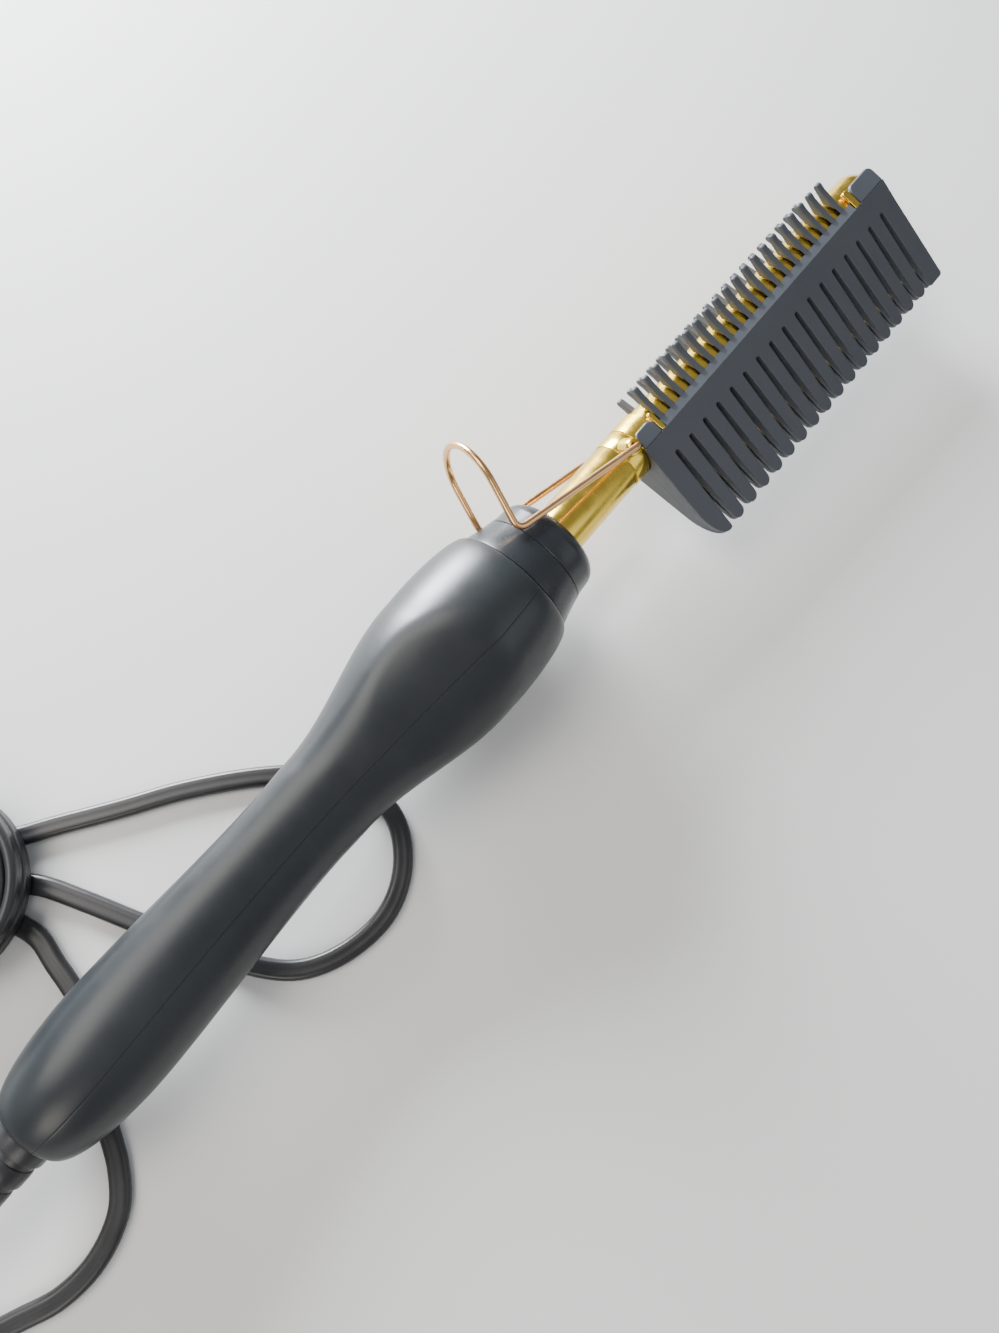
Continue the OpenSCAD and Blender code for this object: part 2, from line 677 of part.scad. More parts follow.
// The hank is laid out from the centre of its near end: u runs along it and v across it
hank_end = [-174.2, 51.8];
hank_turn = 129.7;                      // direction of the hank's long axis
hank_run = 24;                          // length of its straight runs
hank_columns = 4;                       // turns side by side, standing on edge
hank_layers = 2;
hank_hole = 12;                         // inside radius of its ends
hank_r = hank_hole + hank_columns * (lead_t + 0.02) + 0.05;
hank_h = hank_layers * (lead_w + 0.02);
hank_z = lead_t + 0.12;                 // it lies on the lead that passes below it
function on_hank(u, v, z) = [hank_end[0] + u * cos(hank_turn) + v * sin(hank_turn),
                             hank_end[1] + u * sin(hank_turn) - v * cos(hank_turn), z];

floor_z = lead_t / 2 + 0.08;
plug_at = [-207, 26, 6.8];              // where the lead enters the plug's neck
// Centres along the lead: from the clamp through the strain relief, round, under the tail and below the hank
lead_route = [[lead_start, 0, rest_z + lead_start * sin(tilt)],
              [boot_end - 0.2, 0, rest_z + boot_end * sin(tilt)], [-233.2, 0, 13.1], [-243.2, -0.1, 10.6],
              [-252.2, -1.2, 6.4], [-259.8, -5.5, 3], [-261.2, -12.1, 1.5], [-256.6, -17.3, floor_z],
              [-248.2, -18.5, floor_z], [-237.2, -16.5, floor_z], [-227.2, -16.1, floor_z],
              [-218.7, -19.7, floor_z], [-210.5, -23.5, floor_z], [-201.7, -24.3, floor_z],
              [-193.2, -21.5, floor_z], [-187.5, -15.7, floor_z], [-183.2, -8.3, floor_z],
              [-176.7, 1.7, floor_z], [-170.6, 12.1, floor_z], [-168.2, 21.7, floor_z],
              on_hank(-22.5, -9.1, floor_z), on_hank(-14.5, -5.4, floor_z), on_hank(-5, -5.2, floor_z),
              on_hank(5, -7.2, floor_z), on_hank(14, -9, floor_z), on_hank(22, -9.3, floor_z)];
// Centres along the loop: back from below the hank, twice under the handle and up into the hank
loop_route = [on_hank(22, -9.3, floor_z), on_hank(29.7, -9.3, floor_z), on_hank(36.3, -6.6, floor_z),
              on_hank(39, 0, floor_z), on_hank(36.3, 6.6, floor_z), on_hank(29.7, 9.3, floor_z),
              on_hank(20, 9.3, floor_z), on_hank(10, 8.4, floor_z), on_hank(-1, 7.6, floor_z),
              [-155.4, 46.3, floor_z], [-148.7, 41.9, floor_z], [-137.2, 34, floor_z],
              [-125.7, 26.5, floor_z], [-113.7, 16.7, floor_z], [-104.8, 6.7, floor_z],
              [-100.2, -4.3, floor_z], [-101.4, -13.3, floor_z], [-108.2, -20.9, floor_z],
              [-117.7, -24.5, floor_z], [-128.7, -23, floor_z], [-137.8, -17.7, floor_z],
              [-143.8, -8.3, floor_z], [-148, 3.3, floor_z], [-152, 14.9, floor_z],
              [-155.8, 26.3, floor_z], on_hank(-22, 1, floor_z), on_hank(-14, 1.2, floor_z + 0.1),
              on_hank(-6, 2, 2.4), on_hank(2, 4.4, 4.1), on_hank(9.5, 8.2, 4.7), on_hank(16, 11.4, 4.7)];
// Centres along the short stretch from the hank to the plug
end_route = [on_hank(17, -hank_r + 1.2, hank_z + hank_h / 4), on_hank(10, -hank_r + 1, 4.8),
             [-195.3, 42.5, 5.3], [-195.6, 36.5, 5.8], [-198, 30.6, 6.4], plug_at + [5, 0.9, -0.1],
             plug_at + [2, 0, 0], plug_at];

sides = 8;
function flat_across(t) = unit([-t[1], t[0], 0]);
// One rung of a flat oval section at point i of route p, turned by an angle about the route
function rung(p, i, w, t, turn) = let (d = route_dir(p, i), a0 = flat_across(d), u0 = cross(d, a0),
    across = a0 * cos(turn) + u0 * sin(turn), up = u0 * cos(turn) - a0 * sin(turn))
    [for (k = [0:sides - 1]) let (a = 360 * (k + 0.5) / sides)
        p[i] + across * (w / 2) * (abs(cos(a)) > 0.6 ? sign(cos(a)) : 0.52 * sign(cos(a)))
             + up * (t / 2) * (abs(sin(a)) > 0.6 ? sign(sin(a)) : 0.42 * sign(sin(a)))];

// A flat lead along a route. It may be turned on edge at its start and at its end
function eased_out(i, over) = 1 - ease(min(1, i / over));
module flat_tube(route, w, t, turn_in = 0, over_in = 1, turn_out = 0, over_out = 1) {
    n = len(route);
    points = [for (i = [0:n - 1]) each rung(route, i, w, t,
        turn_in * eased_out(i, over_in) + turn_out * eased_out(n - 1 - i, over_out))];
    color(black) polyhedron(points = points, faces = skin(n, sides), convexity = 6);
}

module cord_lead() {
    flat_tube(lead_route, lead_w, lead_t, 90 - roll, 8);
}

module cord_loop() {
    flat_tube(loop_route, lead_w, lead_t, turn_out = 90, over_out = 5);
}

module cord_end() {
    flat_tube(end_route, lead_w, lead_t, turn_in = 90, over_in = 6);
}

tie_t = 0.7;
tie_w = 4.6;
tie_at = 4;                             // the tie's place along the hank
tie_gap = 0.05;
// Children are laid out along the hank, from the centre of its near end
module along_hank() {
    translate([hank_end[0], hank_end[1], hank_z]) rotate(hank_turn) children();
}

module runway(r) {
    for (x = [0, hank_run]) translate([x, 0]) circle(r = r, $fn = round_fn);
    translate([0, -r]) square([hank_run, 2 * r]);
}

module cord_hank() {
    color(black) along_hank() linear_extrude(height = hank_h)
        difference() {
            runway(hank_r);
            runway(hank_hole);
        }
}

// The tie is a strap round one side of the hank
module cord_tie() {
    in_w = hank_r - hank_hole + 2 * tie_gap;
    in_h = hank_h + 2 * tie_gap;
    color(black) along_hank() translate([tie_at, -(hank_r + hank_hole) / 2, hank_h / 2])
        difference() {
            cube([tie_w, in_w + 2 * tie_t, in_h + 2 * tie_t], center = true);
            cube([tie_w + 1, in_w, in_h], center = true);
        }
}

// ---------------------------------------------------------------- plug

plug_neck = 14;
plug_body_l = 22;
plug_w = 35.3;
plug_h = 13.6;
shank_r = 1.5;                          // the pins' shanks inside the body

module plug_frame() {
    translate(plug_at) rotate([0, -90, 0]) children();
}

module plug_body() {
    color(black) plug_frame() {
        difference() {
            union() {
                translate([0, 0, 0.02]) cylinder(r1 = 4.2, r2 = 5.4, h = plug_neck, $fn = round_fn);
                translate([0, 0, plug_neck]) linear_extrude(height = plug_body_l) hull()
                    for (s = [-1, 1])
                        translate([0, s * (plug_w - plug_h) / 2]) circle(r = plug_h / 2, $fn = round_fn);
            }
            for (s = [-1, 1]) translate([0, s * pin_gap / 2, plug_neck + plug_body_l - 10])
                cylinder(r = shank_r, h = 11, $fn = small_fn);
        }
    }
}

module plug_pins() {
    pin_z = plug_neck + plug_body_l - 10;
    color(steel) plug_frame() for (s = [-1, 1]) translate([0, s * pin_gap / 2, pin_z]) {
        cylinder(r = shank_r, h = 10.5, $fn = small_fn);
        translate([0, 0, 10]) cylinder(r = pin_d / 2, h = pin_l - pin_d / 2, $fn = small_fn);
        translate([0, 0, 10 + pin_l - pin_d / 2]) sphere(r = pin_d / 2, $fn = small_fn);
    }
}

as_it_lies() handle_back_shell();
as_it_lies() handle_front_shell();
as_it_lies() handle_screws();
as_it_lies() nose_collar();
as_it_lies() insulating_bush();
as_it_lies() retaining_washer();
as_it_lies() barrel_tube();
as_it_lies() stand_bracket();
as_it_lies() wire_stand();
as_it_lies() comb_spine();
as_it_lies() guard_right();
as_it_lies() guard_left();
as_it_lies() heater_core();
as_it_lies() heater_sleeve();
as_it_lies() thermal_cutout();
as_it_lies() heater_leads();
as_it_lies() lead_sleeves();
as_it_lies() crimp_joints();
as_it_lies() cord_clamp();
as_it_lies() clamp_screws();
as_it_lies() cord_cores();
as_it_lies() strain_relief();
beside_it() cord_lead();
beside_it() cord_hank();
beside_it() cord_loop();
beside_it() cord_end();
beside_it() cord_tie();
beside_it() plug_body();
beside_it() plug_pins();
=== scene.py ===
import math

import bmesh
import bpy
from mathutils import Matrix, Vector


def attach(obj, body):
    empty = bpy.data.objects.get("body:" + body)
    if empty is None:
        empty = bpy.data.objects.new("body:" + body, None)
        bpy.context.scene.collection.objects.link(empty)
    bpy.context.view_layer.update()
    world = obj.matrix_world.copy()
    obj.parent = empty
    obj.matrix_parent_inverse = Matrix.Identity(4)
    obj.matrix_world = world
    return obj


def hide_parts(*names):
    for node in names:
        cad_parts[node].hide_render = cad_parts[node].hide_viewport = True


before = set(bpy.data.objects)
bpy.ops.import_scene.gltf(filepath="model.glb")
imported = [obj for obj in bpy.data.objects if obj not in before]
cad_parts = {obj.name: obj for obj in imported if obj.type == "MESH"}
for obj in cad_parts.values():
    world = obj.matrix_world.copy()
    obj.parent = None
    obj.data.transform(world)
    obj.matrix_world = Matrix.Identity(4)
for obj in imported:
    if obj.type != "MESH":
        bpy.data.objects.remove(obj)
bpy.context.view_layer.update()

# The comb's own frame is in millimetres: x along the barrel to the tip, y across it, z towards its back. The comb
# lies rolled onto its side, and contactX is how far behind the first slot its front bulge meets the table.
lying = {"restX": 65.7, "restY": -0.1, "roll": 25.5, "tilt": 1.3, "contactX": 65.0, "bulgeR": 17.3}
tilt = math.radians(lying["tilt"])
restZ = lying["bulgeR"] / math.cos(tilt) + lying["contactX"] * math.sin(tilt)
toMetres = Matrix.Scale(0.001, 4)
toRow = (toMetres @ Matrix.Translation((lying["restX"], lying["restY"], restZ)) @ Matrix.Rotation(-tilt, 4, "Y")
         @ Matrix.Rotation(math.radians(lying["roll"] - 90), 4, "X"))
besideIt = toMetres @ Matrix.Translation((lying["restX"], lying["restY"], 0))

view = {"at": (-0.0442, -0.0282, 0.2092), "right": (0.636, -0.768, 0.080), "down": (-0.735, -0.634, -0.240),
        "lens": 33.51, "sensor": 36, "nearest": 0.01}


def placeCamera():
    right = Vector(view["right"]).normalized()
    up = -Vector(view["down"])
    up = (up - right * up.dot(right)).normalized()
    back = right.cross(up)
    data = bpy.data.cameras.new("camera")
    data.sensor_fit = "HORIZONTAL"
    data.sensor_width = view["sensor"]
    data.lens = view["lens"]
    data.clip_start = view["nearest"]
    camera = bpy.data.objects.new("camera", data)
    camera.matrix_world = Matrix.Translation(view["at"]) @ Matrix((right, up, back)).transposed().to_4x4()
    bpy.context.scene.collection.objects.link(camera)
    bpy.context.scene.camera = camera


placeCamera()
print("camera placed")


def smoothByAngle(bm, degrees):
    limit = math.radians(degrees)
    for face in bm.faces:
        face.smooth = True
    for edge in bm.edges:
        edge.smooth = len(edge.link_faces) == 2 and edge.calc_face_angle(0) < limit


def makePiece(name, bm, place, material, body, replaced, sharpAt=40):
    bmesh.ops.transform(bm, matrix=place, verts=bm.verts[:])
    bmesh.ops.recalc_face_normals(bm, faces=bm.faces[:])
    smoothByAngle(bm, sharpAt)
    mesh = bpy.data.meshes.new(name)
    bm.to_mesh(mesh)
    bm.free()
    piece = bpy.data.objects.new(name, mesh)
    bpy.context.scene.collection.objects.link(piece)
    mesh.materials.append(material)
    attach(piece, body)
    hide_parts(*replaced)
    return piece


def evenNormals(piece):
    # large flat faces stay flat beside their small rounded edges
    even = piece.modifiers.new("evenNormals", "WEIGHTED_NORMAL")
    even.mode = "FACE_AREA"
    even.weight = 60
    even.keep_sharp = True


def ringOfVerts(bm, points):
    verts = [bm.verts.new(p) for p in points]
    return verts, [bm.edges.new((a, b)) for a, b in zip(verts, verts[1:] + verts[:1])]


def spinProfile(points, steps):
    # points are (x, radius), and the first and last close on the axis or on each other
    bm = bmesh.new()
    verts = [bm.verts.new((x, 0, r)) for x, r in points]
    edges = [bm.edges.new((a, b)) for a, b in zip(verts, verts[1:])]
    bmesh.ops.spin(bm, geom=verts + edges, cent=(0, 0, 0), axis=(1, 0, 0), dvec=(0, 0, 0), angle=2 * math.pi,
                   steps=steps, use_merge=True, use_normal_flip=False, use_duplicate=False)
    bmesh.ops.remove_doubles(bm, verts=bm.verts[:], dist=1e-4)
    bmesh.ops.recalc_face_normals(bm, faces=bm.faces[:])
    return bm


def extrudeOutline(points, lift):
    # a flat outline made solid along lift
    bm = bmesh.new()
    verts, edges = ringOfVerts(bm, points)
    face = bmesh.ops.contextual_create(bm, geom=edges)["faces"][0]
    bmesh.ops.extrude_face_region(bm, geom=[face], use_keep_orig=True)
    moved = [v for v in bm.verts if v not in set(verts)]
    bmesh.ops.translate(bm, verts=moved, vec=lift)
    bmesh.ops.recalc_face_normals(bm, faces=bm.faces[:])
    return bm


def bevelSharp(bm, width, segments=3, degrees=35, keepAbove=None):
    # keepAbove leaves the edges sharp that lie wholly above that z, where another form joins on
    limit = math.radians(degrees)
    edges = [e for e in bm.edges if len(e.link_faces) == 2 and e.calc_face_angle(0) > limit]
    if keepAbove is not None:
        edges = [e for e in edges if min(v.co.z for v in e.verts) < keepAbove]
    bmesh.ops.bevel(bm, geom=edges, offset=width, offset_type="OFFSET", segments=segments, profile=0.5,
                    affect="EDGES", clamp_overlap=True, material=-1)


def cutLevels(bm, levels, across=(0, 0, 1)):
    # adds edges where level planes cross a form, so that it can be shaped between them
    for level in levels:
        bmesh.ops.bisect_plane(bm, geom=bm.verts[:] + bm.edges[:] + bm.faces[:], dist=1e-4,
                               plane_co=Vector(across) * level, plane_no=across)


def addTo(target, source):
    mesh = bpy.data.meshes.new("joining")
    source.to_mesh(mesh)
    source.free()
    target.from_mesh(mesh)
    bpy.data.meshes.remove(mesh)


def arc(centre, radius, start, end, steps):
    turns = [math.radians(start + (end - start) * k / steps) for k in range(steps + 1)]
    return [(centre[0] + radius * math.cos(a), centre[1] + radius * math.sin(a)) for a in turns]


def ease(t):
    t = min(1, max(0, t))
    return t * t * (3 - 2 * t)


def softMin(a, b, blend):
    return min(a, b) - max(blend - abs(a - b), 0) ** 2 / (4 * blend)


def addNode(tree, kind, values=None):
    node = tree.nodes.new(kind)
    for label, value in (values or {}).items():
        node.inputs[label].default_value = value
    return node


def joinNodes(tree, *joins):
    for source, outLabel, target, inLabel in joins:
        tree.links.new(source.outputs[outLabel], target.inputs[inLabel])


def newGroup(name, given, results):
    group = bpy.data.node_groups.new(name, "ShaderNodeTree")
    for label, value in given.items():
        socket = group.interface.new_socket(name=label, in_out="INPUT", socket_type="NodeSocketFloat")
        socket.default_value = value
    for label in results:
        group.interface.new_socket(name=label, in_out="OUTPUT", socket_type="NodeSocketFloat")
    return group, group.nodes.new("NodeGroupInput"), group.nodes.new("NodeGroupOutput")


def mouldedSurfaceGroup():
    # fine texture of moulded plastic: a grain height, a cloudy roughness and faint rubbed patches
    group, given, out = newGroup("mouldedSurface", {"Grain Scale": 2600, "Cloud Scale": 60, "Roughness Low": 0.3,
                                                    "Roughness High": 0.45}, ("Height", "Roughness", "Cloud"))
    place = addNode(group, "ShaderNodeTexCoord")
    grain = addNode(group, "ShaderNodeTexNoise", {"Detail": 2})
    cloud = addNode(group, "ShaderNodeTexNoise", {"Detail": 5, "Roughness": 0.62})
    spread = addNode(group, "ShaderNodeMapRange", {"From Min": 0.3, "From Max": 0.7})
    joinNodes(group, (place, "Object", grain, "Vector"), (place, "Object", cloud, "Vector"),
              (given, "Grain Scale", grain, "Scale"), (given, "Cloud Scale", cloud, "Scale"),
              (cloud, "Fac", spread, "Value"), (given, "Roughness Low", spread, "To Min"),
              (given, "Roughness High", spread, "To Max"), (grain, "Fac", out, "Height"),
              (spread, "Result", out, "Roughness"), (cloud, "Fac", out, "Cloud"))
    return group


def metalSurfaceGroup():
    # drawn metal: fine lines along the barrel, and clouds of handling marks
    group, given, out = newGroup("metalSurface", {"Line Scale": 900, "Roughness Low": 0.15, "Roughness High": 0.32},
                                 ("Height", "Roughness", "Tarnish"))
    place = addNode(group, "ShaderNodeTexCoord")
    stretch = addNode(group, "ShaderNodeMapping", {"Scale": (0.06, 1, 1)})
    lines = addNode(group, "ShaderNodeTexNoise", {"Detail": 3})
    marks = addNode(group, "ShaderNodeTexNoise", {"Scale": 190, "Detail": 6, "Roughness": 0.68})
    spread = addNode(group, "ShaderNodeMapRange", {"From Min": 0.35, "From Max": 0.68})
    clouds = addNode(group, "ShaderNodeTexNoise", {"Scale": 45, "Detail": 4})
    tarnish = addNode(group, "ShaderNodeMapRange", {"From Min": 0.5, "From Max": 0.8})
    joinNodes(group, (place, "Object", stretch, "Vector"), (stretch, "Vector", lines, "Vector"),
              (given, "Line Scale", lines, "Scale"), (place, "Object", marks, "Vector"),
              (place, "Object", clouds, "Vector"), (marks, "Fac", spread, "Value"),
              (given, "Roughness Low", spread, "To Min"), (given, "Roughness High", spread, "To Max"),
              (clouds, "Fac", tarnish, "Value"), (lines, "Fac", out, "Height"),
              (spread, "Result", out, "Roughness"), (tarnish, "Result", out, "Tarnish"))
    return group


mouldedSurface = mouldedSurfaceGroup()
metalSurface = metalSurfaceGroup()


def newMaterial(name):
    material = bpy.data.materials.new(name)
    material.use_nodes = True
    return material, material.node_tree.nodes["Principled BSDF"]


def dressMaterial(name, group, values, mask, colours, bump, depth):
    # joins a surface group to the shader: its mask mixes two colours, and its height is a fine bump
    material, shader = newMaterial(name)
    tree = material.node_tree
    surface = tree.nodes.new("ShaderNodeGroup")
    surface.node_tree = group
    for label, value in values.items():
        surface.inputs[label].default_value = value
    mix = tree.nodes.new("ShaderNodeMix")
    mix.data_type = "RGBA"
    mix.inputs["A"].default_value = (*colours[0], 1)
    mix.inputs["B"].default_value = (*colours[1], 1)
    relief = addNode(tree, "ShaderNodeBump", {"Strength": bump, "Distance": depth})
    joinNodes(tree, (surface, mask, mix, "Factor"), (mix, "Result", shader, "Base Color"),
              (surface, "Roughness", shader, "Roughness"), (surface, "Height", relief, "Height"),
              (relief, "Normal", shader, "Normal"))
    return material, shader


def plasticMaterial(name, dark, rubbed, roughness, grain, bump, cloud=60):
    values = {"Grain Scale": grain, "Cloud Scale": cloud, "Roughness Low": roughness[0],
              "Roughness High": roughness[1]}
    return dressMaterial(name, mouldedSurface, values, "Cloud", (dark, rubbed), bump, depth=0.00004)[0]


def metalMaterial(name, bright, dull, roughness, lines, bump):
    values = {"Line Scale": lines, "Roughness Low": roughness[0], "Roughness High": roughness[1]}
    material, shader = dressMaterial(name, metalSurface, values, "Tarnish", (bright, dull), bump, depth=0.00002)
    shader.inputs["Metallic"].default_value = 1
    return material


satinShell = plasticMaterial("satinShell", (0.013, 0.016, 0.019), (0.023, 0.027, 0.030), (0.31, 0.42), 2400, 0.12)
glossyBand = plasticMaterial("glossyBand", (0.014, 0.017, 0.021), (0.024, 0.027, 0.032), (0.24, 0.34), 2400, 0.08)
guardGrey = plasticMaterial("guardGrey", (0.046, 0.053, 0.066), (0.066, 0.073, 0.086), (0.42, 0.54), 2000, 0.15,
                            90)
leadBlack = plasticMaterial("leadBlack", (0.016, 0.016, 0.018), (0.030, 0.030, 0.032), (0.30, 0.42), 1500, 0.2,
                            140)
plugBlack = plasticMaterial("plugBlack", (0.016, 0.016, 0.018), (0.026, 0.026, 0.028), (0.3, 0.45), 1700, 0.3)
heatCeramic = plasticMaterial("heatCeramic", (0.74, 0.72, 0.66), (0.86, 0.84, 0.78), (0.6, 0.75), 1800, 0.3)
amberFilm = plasticMaterial("amberFilm", (0.42, 0.20, 0.04), (0.55, 0.28, 0.06), (0.2, 0.3), 1200, 0.1)
wovenSleeve = plasticMaterial("wovenSleeve", (0.62, 0.60, 0.54), (0.80, 0.78, 0.72), (0.7, 0.85), 3200, 0.8)
brass = metalMaterial("polishedBrass", (0.87, 0.61, 0.09), (0.68, 0.44, 0.07), (0.16, 0.32), 900, 0.12)
copperWire = metalMaterial("copperWire", (0.80, 0.47, 0.22), (0.60, 0.32, 0.14), (0.18, 0.30), 1400, 0.1)
steel = metalMaterial("plainSteel", (0.62, 0.63, 0.65), (0.45, 0.46, 0.48), (0.22, 0.38), 1200, 0.15)
print("materials made")

# The lead follows the same route as its solids. corners are where one core's side of the jacket has its points.
lead = {"width": 4.4, "thick": 2.3, "coreR": 1.15, "corners": (-118, -80, -40, 0, 40, 80, 118), "step": 1.6,
        "levelFrom": 8, "levelOver": 50, "flatBefore": 38, "flatOver": 30, "lift": 0.08}
# leaves is where on its lap the last turn leaves the hank. The steps between slots follow it round the lap, and all
# their places and lengths are parts of a lap
hank = {"end": (-174.2, 51.8), "turn": 129.7, "run": 24.0, "meanR": 16.6, "hole": 12.0, "columns": 4, "layers": 2,
        "z": 2.42, "gap": 0.02, "leaves": 0.40, "stopBefore": 0.02, "stepAfter": 0.03, "stepEvery": 0.075,
        "stepOver": 0.12, "perLap": 44}
# mouth is (along, radius) points where the lead enters the neck, and ring is (along, change of radius) points of one
# soft ring. waist, narrow and thin are how much the block gives way, as a part of its size, and over which part of
# its length
plug = {"at": (-207.0, 26.0, 6.8), "neck": 14.0, "mouth": ((0.05, 0), (0.05, 3.7), (0.4, 4.1)), "neckRings": 4,
        "ringFrom": 0.6, "ringEvery": 3.1, "ringR": 4.2, "ringGrows": 0.28,
        "ring": ((0.2, 0), (1.7, 0.1), (2.0, -0.1), (2.1, -0.7), (2.8, -0.65), (3.0, 0.1)), "neckR": 5.3,
        "neckInBody": 0.6, "body": 22.0, "width": 35.3, "high": 13.6, "slices": 8, "waist": (0.16, 0.75),
        "narrow": (0.12, 0.4), "thin": (0.10, 0.45), "edge": 1.1, "ribs": (18.0, 20.4, 22.8, 25.2), "ribZ": 6.25,
        "rib": (1.1, 14.0, 1.0), "ribEdge": 0.4, "pinGap": 19.0, "pinR": 2.0, "pinL": 19.0, "pinIn": 3,
        "leadGap": 0.05}
floorZ = lead["thick"] / 2 + lead["lift"]


def onHank(u, v, z):
    # a point beside the comb, from u along the hank's straight runs and v across them
    a = math.radians(hank["turn"])
    return (hank["end"][0] + u * math.cos(a) + v * math.sin(a), hank["end"][1] + u * math.sin(a) - v * math.cos(a),
            z)


def alongTail(x):
    # a point on the handle's axis, behind the strain relief
    return (x, 0, restZ + x * math.sin(tilt))


# from the strain relief down to the table, under the handle and into the hank
leadRoute = [alongTail(-214), alongTail(-222.2), (-233.2, 0, 13.1), (-243.2, -0.1, 10.6), (-252.2, -1.2, 6.4),
             (-259.4, -5.4, 3), (-260.9, -12, 1.5)]
leadRoute += [(x, y, floorZ) for x, y in (
    (-256.4, -17.3), (-248.2, -18.5), (-237.2, -16.5), (-227.2, -16.1), (-218.7, -19.7), (-210.5, -23.5),
    (-201.7, -24.3), (-193.2, -21.5), (-187.5, -15.7), (-183.2, -8.3), (-176.7, 1.7), (-170.6, 12.1),
    (-168.2, 21.7))]
leadRoute += [onHank(u, v, floorZ) for u, v in (
    (-22.5, -9.1), (-14.5, -5.4), (-5, -5.2), (5, -7.2), (14, -9), (22, -9.3))]
# round the hank's far end, out in a loop under the handle, and back up into the hank
loopRoute = [onHank(u, v, floorZ) for u, v in (
    (29.7, -9.3), (36.3, -6.6), (39, 0), (36.3, 6.6), (29.7, 9.3), (20, 9.3), (10, 8.4), (-1, 7.6))]
loopRoute += [(x, y, floorZ) for x, y in (
    (-155.4, 46.3), (-148.7, 41.9), (-137.2, 34), (-125.7, 26.5), (-113.7, 16.7), (-104.8, 6.7), (-100.2, -4.3),
    (-101.4, -13.3), (-108.2, -20.9), (-117.7, -24.5), (-128.7, -23), (-137.8, -17.7), (-143.8, -8.3),
    (-148, 3.3), (-152, 14.9), (-155.8, 26.3))]
riseRoute = [onHank(-22, 1, floorZ), onHank(-14, 1.2, floorZ + 0.1), onHank(-6, 2, 2.4), onHank(2, 4.4, 4.1),
             onHank(9.5, 8.2, 4.7), onHank(16, 11.4, 4.7)]
# off the hank and up to the plug's neck
endRoute = [onHank(9, -20.3, 4.8), (-194.3, 40.5, 5.3), (-195.6, 36.5, 5.8), (-198, 30.6, 6.4),
            (-201.5, 27.6, 6.7), (-205, 26, 6.8), (plug["at"][0] + plug["leadGap"], *plug["at"][1:])]


def onRunway(along, r, z):
    # a point on a lap: the far end's arc, the left run, the near end's arc and the right run
    run = hank["run"]
    bend = math.pi * hank["meanR"]
    arcPart = bend / (2 * (run + bend))
    runPart = 0.5 - arcPart
    if along < arcPart:
        a = math.pi * along / arcPart
        return onHank(run + r * math.sin(a), r * math.cos(a), z)
    if along < 0.5:
        return onHank(run * (1 - (along - arcPart) / runPart), -r, z)
    if along < 0.5 + arcPart:
        a = math.pi * (along - 0.5) / arcPart
        return onHank(-r * math.sin(a), -r * math.cos(a), z)
    return onHank(run * (along - 0.5 - arcPart) / runPart, r, z)


def hankTurns():
    # each lap keeps to its own slot: up the inner column, down the next, and so on outwards. The steps from slot
    # to slot follow one another round the lap, the outermost first, so that no two turns cross
    h = hank
    low = h["z"] + lead["width"] / 2 + h["gap"]
    high = low + lead["width"] + h["gap"]
    slots = []
    for column in range(h["columns"]):
        r = h["hole"] + (lead["thick"] + h["gap"]) * (column + 0.5) + h["gap"]
        slots += [(r, z) for z in ((high, low) if column % 2 else (low, high))]
    last = len(slots) - 1
    points = []
    for lap, (fromR, fromZ) in enumerate(slots):
        toR, toZ = slots[min(lap + 1, last)]
        starts = h["leaves"] + h["stepAfter"] + h["stepEvery"] * (last - 1 - lap)
        for k in range(h["perLap"]):
            along = k / h["perLap"]
            if lap == last and along > h["leaves"] - h["stopBefore"]:
                break
            t = ease((along - starts) / h["stepOver"])
            points.append(onRunway(along, fromR + (toR - fromR) * t, fromZ + (toZ - fromZ) * t))
    return points


def evenWalk(points, step, parts=12):
    # an even walk along a smooth curve through the points, and the curve's length
    count = len(points)
    dense = []
    for i in range(count - 1):
        a, b, c, d = (Vector(points[k]) for k in (max(i - 1, 0), i, i + 1, min(i + 2, count - 1)))
        for t in (k / parts for k in range(parts)):
            dense.append(0.5 * ((2 * b) + (c - a) * t + (2 * a - 5 * b + 4 * c - d) * t ** 2
                                + (3 * b - a - 3 * c + d) * t ** 3))
    dense.append(Vector(points[-1]))
    walked, carry, total = [dense[0]], 0.0, 0.0
    for p, q in zip(dense, dense[1:]):
        gap = (q - p).length
        total += gap
        while carry + gap >= step:
            p = p.lerp(q, (step - carry) / gap)
            walked.append(p)
            gap = (q - p).length
            carry = 0.0
        carry += gap
    walked.append(dense[-1])
    return walked, total


def leadSection():
    # two round cores side by side under one jacket
    c, r = lead["width"] / 2 - lead["coreR"], lead["coreR"]
    right = [(c + r * math.cos(math.radians(t)), r * math.sin(math.radians(t))) for t in lead["corners"]]
    return right + [(-x, -y) for x, y in right]


def sweep(bm, path, sectionAt):
    # carries a closed section along a path by extruding its edge loop ring by ring
    ring, edges = ringOfVerts(bm, sectionAt(0))
    ends = [edges]
    for i in range(1, len(path)):
        made = bmesh.ops.extrude_edge_only(bm, edges=edges)["geom"]
        edges = [g for g in made if isinstance(g, bmesh.types.BMEdge) and g.verts[0] not in ring
                 and g.verts[1] not in ring]
        fresh = {v for e in edges for v in e.verts}
        after = {v: e.other_vert(v) for v in ring for e in v.link_edges if e.other_vert(v) in fresh}
        ring = [after[v] for v in ring]
        for v, place in zip(ring, sectionAt(i)):
            v.co = place
    ends.append(edges)
    for loop in ends:
        bmesh.ops.contextual_create(bm, geom=loop)


